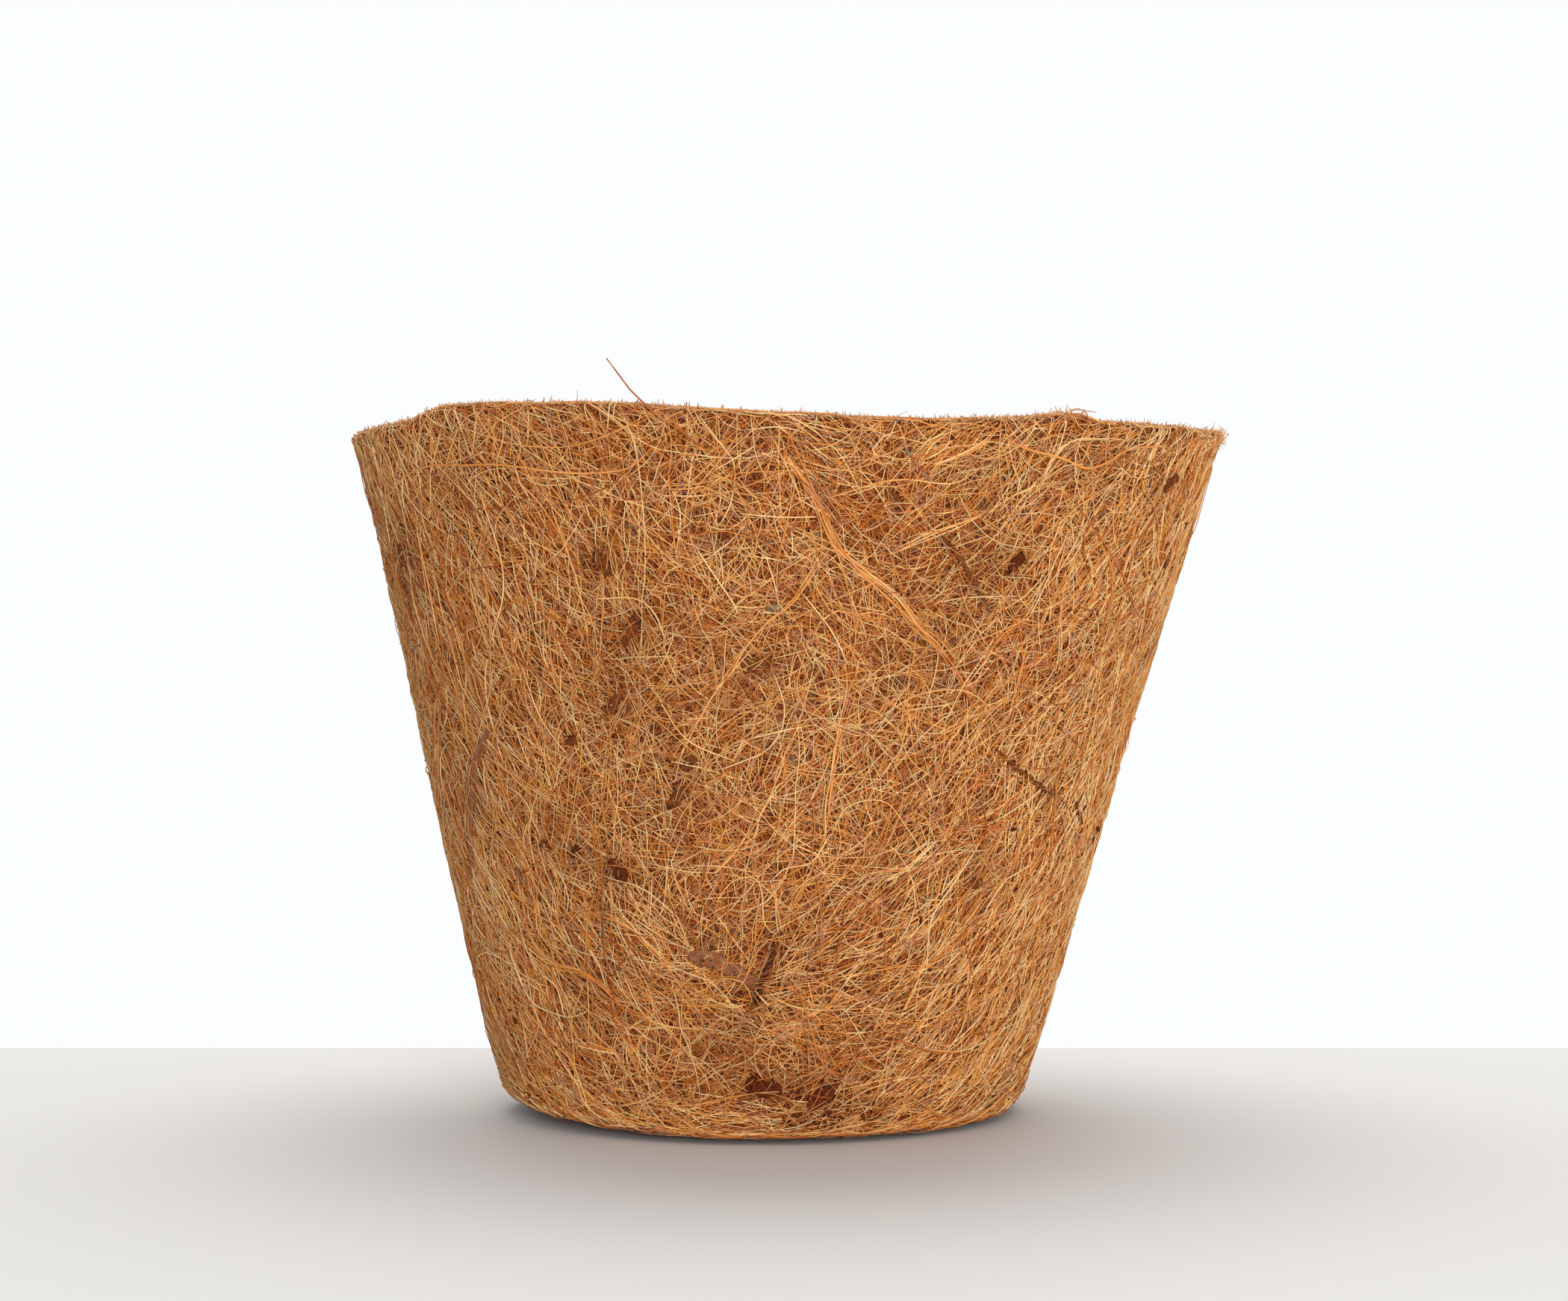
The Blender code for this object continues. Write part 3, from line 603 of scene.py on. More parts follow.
def tube(centre, normal, radius, tone, stain=0.0, sides=3):
    """Rings round the middle lines of a batch of fibres, as (fibre, point, side) arrays."""
    radius, tone, stain = [np.broadcast_to(value, centre.shape[:2]) for value in (radius, tone, stain)]
    along = unit(np.gradient(centre, axis=1))
    side = unit(np.cross(along, normal))
    up = np.cross(side, along)
    spin = math.tau * np.arange(sides) / sides + math.pi / 2.0
    ring = np.cos(spin)[:, None] * side[:, :, None, :] + np.sin(spin)[:, None] * up[:, :, None, :]
    return {"rings": centre[:, :, None, :] + radius[:, :, None, None] * ring, "tone": tone, "stain": stain}


def felt_tube(turns, runs, out, radius, tone, stain=0.0, sides=3):
    """Fibres on the felt, out metres off its face and never below the table, as tubes."""
    centre = felt_point(turns, runs, out)
    normal = unit(felt_point(turns, runs, out + 0.0005) - centre)
    centre[..., 2] = np.maximum(centre[..., 2], radius)
    return tube(centre, normal, radius, tone, stain, sides)


def uneven(dice, middle, spread, shape, least=0.0, most=math.inf):
    """Random sizes round a middle one."""
    return np.clip(middle * np.exp(dice.normal(0.0, spread, shape)), least, most)


def tapered(share, ends):
    """A fibre's thickness along its length, from a share of its middle's at the ends to 1."""
    return ends + (1.0 - ends) * np.sqrt(np.sin(math.pi * np.clip(share, 0.02, 0.98)))


def near_end(share, reach):
    """1 at a fibre's two ends and 0 further in than the reach."""
    return 1.0 - ease(np.minimum(share, 1.0 - share), 0.0, reach)


# Each fibre's own strip of the surface map: margins and size along and across, and its two end caps.
STRIP_ALONG = (0.07, 0.86)
STRIP_ACROSS = (0.1, 0.8)
CAP_START = 0.03
CAP_END = 0.97
CAP_SIZE = (0.02, 0.3)


def fibre_piece(name, batches, material):
    """One mesh from batches of closed tubes, each fibre with its own strip of the surface map."""
    points = []
    corners = []
    starts = []
    strips = []
    tones = []
    stains = []
    total = sum(len(batch["rings"]) for batch in batches)
    columns = max(1, math.ceil(math.sqrt(total) / 2.0))
    lines = math.ceil(total / columns)
    first_point = 0
    first_fibre = 0
    first_corner = 0
    for batch in batches:
        count, length, sides, _ = batch["rings"].shape
        points.append(batch["rings"].reshape(-1, 3))
        index = first_point + np.arange(count * length * sides).reshape(count, length, sides)
        after = np.roll(index, -1, axis=2)
        quads = np.stack([index[:, :-1], index[:, 1:], after[:, 1:], after[:, :-1]], axis=-1)
        cell = first_fibre + np.arange(count)
        left = (cell % columns)[:, None, None] / columns
        bottom = (cell // columns)[:, None, None] / lines
        u = (np.arange(length) / (length - 1) * STRIP_ALONG[1] + STRIP_ALONG[0])[None, :, None]
        v = np.arange(sides + 1)[None, None, :] / sides * STRIP_ACROSS[1] + STRIP_ACROSS[0]
        spots = np.stack(np.broadcast_arrays(left + u / columns, bottom + v / lines), axis=-1)
        quad_spots = np.stack(
            [spots[:, :-1, :-1], spots[:, 1:, :-1], spots[:, 1:, 1:], spots[:, :-1, 1:]], axis=-2)
        corners.append(quads.reshape(-1))
        strips.append(quad_spots.reshape(-1, 2))
        starts.append(first_corner + np.arange(quads.size // 4) * 4)
        first_corner += quads.size
        ring_spin = math.tau * np.arange(sides) / sides
        for cap, at in ((index[:, 0, :], CAP_START), (index[:, -1, ::-1], CAP_END)):
            cap_u = left[:, :, 0] + (at + CAP_SIZE[0] * np.cos(ring_spin)) / columns
            cap_v = bottom[:, :, 0] + (0.5 + CAP_SIZE[1] * np.sin(ring_spin)) / lines
            corners.append(cap.reshape(-1))
            strips.append(np.stack([cap_u, cap_v], axis=-1).reshape(-1, 2))
            starts.append(first_corner + np.arange(count) * sides)
            first_corner += cap.size
        tones.append(np.repeat(batch["tone"].reshape(-1), sides))
        stains.append(np.repeat(batch["stain"].reshape(-1), sides))
        first_point += count * length * sides
        first_fibre += count
    piece = link_mesh(name, np.concatenate(points), np.concatenate(corners), np.concatenate(starts), material)
    surface_map = piece.data.uv_layers.new(name="OFBake")
    surface_map.data.foreach_set("uv", np.concatenate(strips).astype(np.float32).ravel())
    for label, values in (("tone", tones), ("stain", stains)):
        attribute = piece.data.attributes.new(label, "FLOAT", "POINT")
        attribute.data.foreach_set("value", np.concatenate(values).astype(np.float32))
    return piece


# Places where the fibres are darker and redder: small spots of husk dust and latex that soaked in, and broad
# patches over the sides.
# Each place: degrees from the front, share of the height, radius in metres, strength.
STAINS = (
    (0.5, 0.082, 0.006, 0.5), (12.0, 0.060, 0.008, 0.6), (22.9, 0.034, 0.005, 0.5),
    (-25.5, 0.385, 0.006, 0.5), (-14.0, 0.510, 0.010, 0.36), (-33.0, 0.409, 0.008, 0.4),
    (-57.0, 0.480, 0.007, 0.5), (-24.0, 0.615, 0.010, 0.45), (-20.2, 0.715, 0.009, 0.45),
    (-2.2, 0.668, 0.010, 0.32), (-24.0, 0.805, 0.006, 0.4), (-66.0, 0.822, 0.008, 0.5),
    (25.2, 0.793, 0.008, 0.5), (32.5, 0.807, 0.005, 0.5), (61.0, 0.922, 0.008, 0.4),
    (50.0, 0.500, 0.007, 0.3), (-33.0, 0.200, 0.008, 0.5), (-38.0, 0.245, 0.007, 0.45),
    (-8.0, 0.150, 0.006, 0.5), (20.0, 0.690, 0.008, 0.35), (-46.0, 0.90, 0.009, 0.35),
    (22.0, 0.93, 0.007, 0.3), (37.0, 0.363, 0.006, 0.35), (-62.0, 0.10, 0.007, 0.35),
    # The six broad patches here, 30 to 45 mm across, make the left and right sides darker and redder.
    (-67.0, 0.75, 0.042, 0.46), (-66.0, 0.35, 0.038, 0.40), (-70.0, 0.05, 0.030, 0.26),
    (84.0, 0.70, 0.040, 0.38), (80.0, 0.25, 0.035, 0.26), (-42.0, 0.62, 0.045, 0.15),
    (118.0, 0.62, 0.012, 0.5), (152.0, 0.33, 0.010, 0.5), (-158.0, 0.70, 0.013, 0.45),
    (-124.0, 0.40, 0.010, 0.5), (174.0, 0.16, 0.009, 0.5), (-140.0, 0.14, 0.008, 0.45),
    (98.0, 0.28, 0.008, 0.4), (134.0, 0.86, 0.009, 0.4),
)


STAIN_DEPTH = 0.48
CLOUD_DEPTH = 0.08
CLOUD_SIZE = 0.010


def stain_at(turn, run):
    """How strongly the felt is stained at a place, from 0 to 1."""
    stain = CLOUD_DEPTH * ease(patchy(turn, run, CLOUD_SIZE, 31), 0.3, 0.9)
    for degrees, share, radius, strength in STAINS:
        aside = metres_from(turn, degrees, share * WALL_HEIGHT)
        away = np.hypot(aside, run - run_at(share)) / radius
        stain = stain + STAIN_DEPTH * strength * np.exp(-(away**2))
    return np.clip(stain, 0.0, 1.0)


# Coir fibre, retted and carded: golden to red-brown, satin with latex, pale where a fibre is split and dry.
# Each fibre has its own tone, which changes every 4 mm or so, and pinker stretches of about 3 mm.
fibre_finish, tree, shader = new_material("carded coir fibre", 0.55, 1.5, 0.12)
TONE_CHANGE = 0.16
TONES_PER_METRE = 260.0
PINKS_PER_METRE = 330.0
tone = add_node(tree, "ShaderNodeAttribute", attribute_name="tone")
stain = add_node(tree, "ShaderNodeAttribute", attribute_name="stain")
where = add_node(tree, "ShaderNodeTexCoord").outputs["Object"]
cloud = add_node(tree, "ShaderNodeTexNoise", {"Vector": where, "Scale": TONES_PER_METRE, "Detail": 2.0})
varied = add_node(tree, "ShaderNodeMath", {
    0: cloud.outputs["Fac"], 1: TONE_CHANGE, 2: tone.outputs["Fac"]}, operation="MULTIPLY_ADD")
centred = add_node(tree, "ShaderNodeMath", {
    0: varied.outputs["Value"], 1: TONE_CHANGE / 2.0}, operation="SUBTRACT")
fibre_ramp = add_node(tree, "ShaderNodeValToRGB", {"Fac": centred.outputs["Value"]}, stops=(
    (0.0, "#5e2410"), (1.0, "#fcf0cf"), (0.20, "#8e431c"), (0.38, "#c8722f"), (0.56, "#e6a356"),
    (0.76, "#f6d59b")))
blush = add_node(tree, "ShaderNodeTexNoise", {"Vector": where, "Scale": PINKS_PER_METRE, "Detail": 2.0})
blush_share = add_node(tree, "ShaderNodeMapRange", {
    "Value": blush.outputs["Fac"], "From Min": 0.48, "From Max": 0.70, "To Max": 0.42})
pinked = add_node(tree, "ShaderNodeMix", {
    0: blush_share.outputs["Result"], 6: fibre_ramp.outputs["Color"], 7: linear("#cf9a7c")}, data_type="RGBA")
dusted = add_node(tree, "ShaderNodeMix", {
    0: stain.outputs["Fac"], 6: pinked.outputs[2], 7: linear("#7a391b")}, data_type="RGBA")
tree.links.new(dusted.outputs[2], shader.inputs["Base Color"])

# The chips of husk: torn bits of its skin and pith that came through the carding with the fibre and were
# glued on by the latex. The fibres part round them, and a few lie across. Each strip: node, degrees, share
# of the height, length, width, tilt in degrees, bow, bluntness. Flakes have no bow, and one bluntness.
HUSK_STRIPS = (
    ("husk_strip_tuck", -7.2, 0.248, 0.0164, 0.0037, -25.0, 0.0005, 12.0),
    ("husk_strip_left", -56.9, 0.466, 0.0400, 0.0030, 58.0, 0.0030, 2.6),
    ("husk_splinter_right", 43.5, 0.517, 0.0250, 0.0011, -26.0, -0.0012, 2.6),
    ("husk_splinter_flank", 60.5, 0.454, 0.0085, 0.0012, -40.0, 0.0002, 2.6),
    ("husk_splinter_upper", 25.2, 0.792, 0.0220, 0.0010, -50.0, 0.0004, 2.6),
)
HUSK_FLAKES = (
    ("flake_foot_middle", 0.5, 0.082, 0.0080, 0.0045, -31.0),
    ("flake_foot_pith", 12.0, 0.064, 0.0068, 0.0046, 62.0),
    ("flake_foot_right", 22.9, 0.034, 0.0040, 0.0022, 8.0),
    ("flake_low_left", -25.5, 0.385, 0.0060, 0.0036, -70.0),
    ("flake_low_left_small", -33.6, 0.409, 0.0034, 0.0020, 40.0),
    ("flake_low_left_flank", -39.7, 0.415, 0.0034, 0.0022, -20.0),
    ("flake_left_middle", -31.6, 0.565, 0.0030, 0.0022, 0.0),
    ("flake_middle_upper", -12.6, 0.534, 0.0040, 0.0026, 35.0),
    ("flake_middle_lower", -14.6, 0.487, 0.0070, 0.0026, 38.0),
    ("flake_low_right", 37.1, 0.363, 0.0034, 0.0026, 20.0),
    ("flake_right_flank", 74.4, 0.413, 0.0080, 0.0034, 80.0),
    ("flake_upper_right", 32.6, 0.805, 0.0044, 0.0028, 70.0),
    ("flake_rim_right", 61.0, 0.922, 0.0060, 0.0030, 42.0),
    ("flake_rim_middle", 13.6, 0.898, 0.0034, 0.0020, -10.0),
    ("flake_centre_grey", -0.6, 0.743, 0.0032, 0.0018, -18.0),
    ("flake_flank_right", 68.6, 0.815, 0.0040, 0.0026, 60.0),
    ("flake_upper_left", -23.8, 0.796, 0.0058, 0.0028, -58.0),
    ("flake_left_flank", -66.2, 0.820, 0.0052, 0.0030, 75.0),
    ("flake_left_upper", -20.2, 0.714, 0.0080, 0.0028, 64.0),
    ("flake_left_long", -24.0, 0.615, 0.0088, 0.0024, 48.0),
    ("flake_centre", -2.2, 0.668, 0.0060, 0.0030, 30.0),
)
FLAKE_BLUNTNESS = 2.6
CHIPS = HUSK_STRIPS + tuple(flake + (0.0, FLAKE_BLUNTNESS) for flake in HUSK_FLAKES)
CHIP_EDGE = (0.8, 1.15)


def chip_cover(turn, run):
    """1 over a husk chip and 0 away from it, with a soft edge."""
    cover = np.zeros_like(turn)
    for _, degrees, share, length, width, tilt, bow, _ in CHIPS:
        aside = metres_from(turn, degrees, share * WALL_HEIGHT)
        up = run - run_at(share)
        lean = math.radians(tilt)
        along = (aside * math.cos(lean) + up * math.sin(lean)) / (length / 2.0)
        across = (up * math.cos(lean) - aside * math.sin(lean) - bow * (1.0 - along**2)) / (width / 2.0)
        cover = np.maximum(cover, 1.0 - ease(np.hypot(along, across), *CHIP_EDGE))
    return cover


# A rough, torn piece of coconut husk: dark purple-brown and matt, with a fine grain and paler dust in it. The
# grain is about 0.2 mm across, drawn at 0.4 mm so that it shows, and the dust gathers every millimetre.
HUSK_GRAIN = 0.0004
HUSK_GRAIN_DEPTH = 0.0003
BLOTCHES_PER_METRE = 900.0


def husk_finish(name, dark, middle, pale):
    """One shade of husk, from its darkest to its palest."""
    material, tree, shader = new_material(name, 0.85, 1.5, 0.06)
    where = add_node(tree, "ShaderNodeTexCoord").outputs["Object"]
    grain = add_node(tree, "ShaderNodeTexNoise", {
        "Vector": where, "Scale": 1.0 / HUSK_GRAIN, "Detail": 3.0})
    blotch = add_node(tree, "ShaderNodeTexNoise", {
        "Vector": where, "Scale": BLOTCHES_PER_METRE, "Detail": 2.0})
    both = add_node(tree, "ShaderNodeMath", {
        0: grain.outputs["Fac"], 1: blotch.outputs["Fac"]}, operation="MULTIPLY")
    ramp = add_node(tree, "ShaderNodeValToRGB", {"Fac": both.outputs["Value"]}, stops=(
        (0.16, dark), (0.37, pale), (0.25, middle)))
    bump = add_node(tree, "ShaderNodeBump", {
        "Height": grain.outputs["Fac"], "Strength": 0.8, "Distance": HUSK_GRAIN_DEPTH})
    tree.links.new(ramp.outputs["Color"], shader.inputs["Base Color"])
    tree.links.new(bump.outputs["Normal"], shader.inputs["Normal"])
    return material


flake_finish = husk_finish("dark torn husk", "#3a160b", "#5a2712", "#8f4f28")
brown_finish = husk_finish("brown torn husk", "#4c2312", "#71391d", "#a2683a")
strip_finish = husk_finish("reddish husk strip", "#54260f", "#8c5032", "#dcb48e")
ribbon_finish = husk_finish("smooth husk ribbon", "#774a34", "#8f5d43", "#b08362")
splinter_finish = husk_finish("husk splinter", "#5c2a15", "#7d4420", "#ad733c")
grey_finish = husk_finish("weathered grey husk", "#5b463b", "#8a7365", "#b5a08c")
DARK_CHIPS = ("flake_foot_middle", "flake_foot_pith", "flake_foot_right", "flake_low_left",
              "flake_low_left_small", "flake_right_flank", "flake_upper_right")
CHIP_STAND = 0.00012
CHIP_SUNK = 0.00015
CHIP_THICKNESS = 0.00040
CHIP_EDGE_SHARE = 0.35
CHIP_CURL = 0.00012
CHIP_WAVE = 0.00010
CHIP_GRAIN = 0.00008
# A long strip is finer in its mesh and is torn into more, shallower notches than a flake.
LONG_CHIP = 0.012


def husk_chip(node, degrees, share, length, width, tilt, bow, bluntness, seed, material):
    """A thin torn plate with a ragged outline, curled a little and wrapped on the felt."""
    dice = np.random.default_rng(seed)
    cells, torn, uneven_share = (16, 8, 0.40) if length < LONG_CHIP else (26, 15, 0.18)
    lines = 9
    along, across = np.meshgrid(np.linspace(-1.0, 1.0, cells), np.linspace(-1.0, 1.0, lines), indexing="ij")
    waves = dice.uniform(0.0, math.tau, 8)
    full = np.sqrt(np.clip(1.0 - np.abs(along) ** bluntness, 0.0, 1.0))
    notches = np.linspace(-1.0, 1.0, torn)
    upper = np.interp(along, notches, 1.0 - uneven_share * dice.uniform(-0.5, 1.0, torn))
    lower = np.interp(along, notches, 1.0 - uneven_share * dice.uniform(-0.5, 1.0, torn))
    half = width / 2.0 * (0.12 + 0.88 * full) * np.where(across > 0.0, upper, lower)
    x = (along + 0.15 * uneven_share * np.sin(4.0 * across + waves[4])) * length / 2.0
    y = across * half + 0.1 * width * np.sin(2.2 * along + waves[3]) + bow * (1.0 - along**2)
    lean = math.radians(tilt)
    aside = x * math.cos(lean) - y * math.sin(lean)
    up = x * math.sin(lean) + y * math.cos(lean)
    turn = math.radians(degrees) + aside / cone_radius(share * WALL_HEIGHT)
    run = run_at(share) + up
    edge = np.maximum(np.abs(along), np.abs(across))
    rough = CHIP_WAVE * np.sin(9.0 * along + waves[5]) * np.sin(5.0 * across + waves[6])
    rough = rough + CHIP_GRAIN * dice.normal(0.0, 1.0, along.shape)
    thick = CHIP_THICKNESS * (CHIP_EDGE_SHARE + (1.0 - CHIP_EDGE_SHARE) * (1.0 - edge**4))
    low = CHIP_STAND + CHIP_CURL * np.sin(3.0 * along + waves[7]) * (along**2)
    bottom = felt_point(turn, run, low - CHIP_SUNK)
    top = felt_point(turn, run, low + thick + rough)
    points = np.concatenate([bottom.reshape(-1, 3), top.reshape(-1, 3)])
    here = (np.arange(cells - 1)[:, None] * lines + np.arange(lines - 1)[None, :]).reshape(-1)
    under = np.stack([here, here + 1, here + lines + 1, here + lines], axis=-1)
    over = cells * lines + under[:, ::-1]
    border = [(i, 0) for i in range(cells - 1)] + [(cells - 1, j) for j in range(lines - 1)]
    border += [(i, lines - 1) for i in range(cells - 1, 0, -1)] + [(0, j) for j in range(lines - 1, 0, -1)]
    rim = np.array([i * lines + j for i, j in border])
    after = np.roll(rim, -1)
    side = np.stack([rim, after, after + cells * lines, rim + cells * lines], axis=-1)
    faces = np.concatenate([under, over, side])
    return link_mesh(node + "_husk", points, faces, range(0, faces.size, 4), material)


chip_finishes = dict.fromkeys(DARK_CHIPS, flake_finish)
chip_finishes.update(
    flake_centre_grey=grey_finish, husk_strip_left=ribbon_finish, husk_strip_tuck=strip_finish,
    husk_splinter_right=splinter_finish, husk_splinter_flank=splinter_finish,
    husk_splinter_upper=splinter_finish)
for seed, (node, *sizes) in enumerate(CHIPS, start=400):
    chip = husk_chip(node, *sizes, seed, chip_finishes.get(node, brown_finish))
    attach(chip, "root")
    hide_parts(node)

# The outer face. Real fibres are 0.25 to 0.4 mm thick and 30 to 150 mm long, and show for 5 to 60 mm before
# they dive under others: dark ones deep in the felt, a tangle of short ones over them, then long ones, and
# short pale split ends on top. The deep ones are drawn darker still, as painted shade in the gaps between
# the others. Needles and latex hold them.
# Each depth: points, fibres, length and its spread, lowest and highest middle, thickness, tone and its
# spread, and how many lie side by side.
DEPTHS = (
    # The first, deepest row's low tone is painted shade in the gaps.
    (5, 1400, 0.016, 0.30, -0.00085, -0.00045, 0.00030, 0.25, 0.12, 1),
    (5, 2300, 0.012, 0.35, -0.00048, -0.00012, 0.00027, 0.46, 0.18, 1),
    (7, 1500, 0.017, 0.35, -0.00028, 0.00010, 0.00027, 0.56, 0.20, 1),
    (13, 220, 0.034, 0.40, -0.00006, 0.00026, 0.00031, 0.50, 0.13, 1),
    (9, 80, 0.026, 0.25, -0.00010, 0.00020, 0.00028, 0.52, 0.12, 3),
    (5, 800, 0.006, 0.40, -0.00006, 0.00022, 0.00024, 0.76, 0.14, 1),
)
# Where the face starts and ends, and how far the fibres follow the lay. Their ends dive into the felt, but
# not at the cut rim, and they wave along their length.
FACE_START = 0.0006
FACE_END = RIM_RUN + 0.0003
LAY_FOLLOWED = 0.5
DIVE_DEPTH = 0.00030
DIVE_LENGTH = 0.0035
DIVE_FADES = (RIM_RUN - 0.006, RIM_RUN - 0.001)
WAVE_HEIGHT = 0.00011
WAVE_LENGTHS = (0.008, 0.020)
# Fibres that lie above this depth may spring off the felt, and those under the other may cross the crease.
SPRING_DEPTH = -0.0004
SPRING_SHARE = 0.12
SPRING_HEIGHTS = (0.0002, 0.0005)
CROSSING_DEPTH = -0.0008
CREASE_SINK = 0.8
# Of the fibres that meet a husk chip, the share that lies over it: of the long ones, which have more points
# than the others, and of the others.
OVER_CHIPS = (0.50, 0.18)
SHORT_POINTS = 7
OVER_CHIP = CHIP_STAND + CHIP_THICKNESS + 0.0001
UNDER_CHIP = -0.00045
# The fibres' radii, how they differ, and how thin the ends are.
FINEST = 0.00008
COARSEST = 0.00027
RADIUS_SPREAD = 0.25
THIN_ENDS = 0.55
# How the tone changes along a fibre, and in patches over the felt.
TONE_DRIFT = 0.10
TONE_PATCHES = 0.03
TONE_PATCH_SIZE = 0.020
# The least tone of the deeper fibres, low as painted shade in the gaps, and of the upper fibres; the painted
# shade at the foot's edge, under its rounding; and how much shade is painted into the crease.
LEAST_TONES = (0.10, 0.26)
DEEP_TONES = -0.0003
FOOT_PAINTED_SHADE = 0.85
FOOT_PAINTED_SHADE_FADES = (0.0038, 0.0066)
CREASE_PAINTED_SHADE = 0.7


def even_shares(start, end):
    """Runs from start to end, and the share of the felt's area before each."""
    runs = np.arange(start, end, 0.0005)
    area = np.cumsum(np.interp(runs, RUN, RUN_RADIUS))
    return runs, area / area[-1]


area_runs, area_share = even_shares(0.0012, RIM_RUN - 0.0002)


def lay_batch(dice, depth, turn, run, heading, curl):
    """A batch of fibres of one depth on the outer face, as tubes."""
    points, _, length, length_spread, low, high, thickness, tone, tone_spread, _ = depth
    lengths = uneven(dice, length, length_spread, len(turn))
    turns, runs, kept = grow(dice, turn, run, heading, lengths, curl, points, FACE_START, FACE_END,
                             LAY_FOLLOWED, crosses=low < CROSSING_DEPTH)
    each = (len(turns), 1)
    lengths = lengths[kept][:, None]
    share = np.linspace(0.0, 1.0, points)[None, :]
    middle = dice.uniform(low, high, each)
    waves = share * lengths / dice.uniform(*WAVE_LENGTHS, each) + dice.uniform(0.0, 1.0, each)
    dive = DIVE_DEPTH * near_end(share, DIVE_LENGTH / lengths) * (1.0 - ease(runs, *DIVE_FADES))
    springs = dice.uniform(0.0, 1.0, each) < (SPRING_SHARE if low > SPRING_DEPTH else 0.0)
    arch = np.where(springs, dice.uniform(*SPRING_HEIGHTS, each), 0.0) * np.sin(math.pi * share)
    out = middle + WAVE_HEIGHT * np.sin(math.tau * waves) - dive + arch
    over = dice.uniform(0.0, 1.0, each) < OVER_CHIPS[points <= SHORT_POINTS]
    out = out + chip_cover(turns, runs) * np.where(over, OVER_CHIP - out, UNDER_CHIP)
    crease = crease_near(turns, runs)
    out = out - CREASE_SINK * CREASE_DEPTH * crease
    radius = uneven(dice, thickness / 2.0, RADIUS_SPREAD, each, FINEST, COARSEST) * tapered(share, THIN_ENDS)
    own = dice.normal(tone, tone_spread, each) + TONE_DRIFT * dice.normal(0.0, 1.0, each) * (share - 0.5)
    patches = TONE_PATCHES * patchy(turns, runs, TONE_PATCH_SIZE, 41)
    tones = np.clip(own + patches, LEAST_TONES[low >= DEEP_TONES], 1.0)
    # Painted shade: the fibres darken towards the foot's lowest edge, where the table's shade falls under the
    # rounding, and in the narrow bottom of the crease.
    painted_foot_shade = FOOT_PAINTED_SHADE * (1.0 - ease(runs, *FOOT_PAINTED_SHADE_FADES))
    tones = tones * (1.0 - CREASE_PAINTED_SHADE * crease) * (1.0 - painted_foot_shade)
    return felt_tube(turns, runs, out, radius, tones, stain_at(turns, runs))


# The share of the fibres that lies any way at all; the share that is tightly curled, with how curled those
# and the others are, in radians per metre; and how far a sheaf spreads.
STRAY_SHARE = 0.14
CURLED_SHARE = 0.12
CURLS = (110.0, 30.0)
SHEAF_WIDTH = 0.00045
SHEAF_SHIFT = 0.004
SHEAF_FAN = 0.10


def sown(dice, count, start, end, sheaf):
    """Places spaced evenly over a sector of the outer face, with the lay's heading at each. A sheaf is that
    many fibres side by side, as the carding left them."""
    group = np.arange(count) // sheaf
    count = group[-1] + 1
    turn = start + (end - start) * ((np.arange(count) * 0.7548777 + dice.uniform()) % 1.0)
    run = np.interp((np.arange(count) * 0.5698403 + dice.uniform()) % 1.0, area_share, area_runs)
    direction, spread = lay_at(turn, run)
    heading = direction + dice.normal(0.0, 1.0, count) * spread
    any_way = dice.uniform(0.0, 1.0, count) < STRAY_SHARE
    heading = np.where(any_way, dice.uniform(-1.6, 1.6, count), heading)
    curled = dice.uniform(0.0, 1.0, count) < CURLED_SHARE
    curl = np.where(curled, dice.normal(0.0, CURLS[0], count), dice.normal(0.0, CURLS[1], count))
    turn, run, heading, curl = [value[group] for value in (turn, run, heading, curl)]
    beside = dice.normal(0.0, SHEAF_WIDTH * sheaf**0.5, len(group)) * (sheaf > 1)
    along = dice.normal(0.0, SHEAF_SHIFT, len(group)) * (sheaf > 1)
    turn = turn + (along * np.cos(heading) - beside * np.sin(heading)) / np.interp(run, RUN, RUN_RADIUS)
    run = run + along * np.sin(heading) + beside * np.cos(heading)
    run = np.clip(run, area_runs[0], RIM_RUN - 0.0008)
    return turn, run, heading + dice.normal(0.0, SHEAF_FAN, len(group)) * (sheaf > 1), curl


SECTOR_NAMES = ("front_left", "front_right", "right_front", "right_back",
                "back_right", "back_left", "left_back", "left_front")
for sector, sector_name in enumerate(SECTOR_NAMES):
    dice = np.random.default_rng(100 + sector)
    start = math.tau * (sector - 1) / len(SECTOR_NAMES)
    end = start + math.tau / len(SECTOR_NAMES)
    batches = [lay_batch(dice, depth, *sown(dice, depth[1], start, end, depth[-1])) for depth in DEPTHS]
    piece = fibre_piece("fibres_" + sector_name, batches, fibre_finish)
    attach(piece, "root")
    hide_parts("wall_felt")

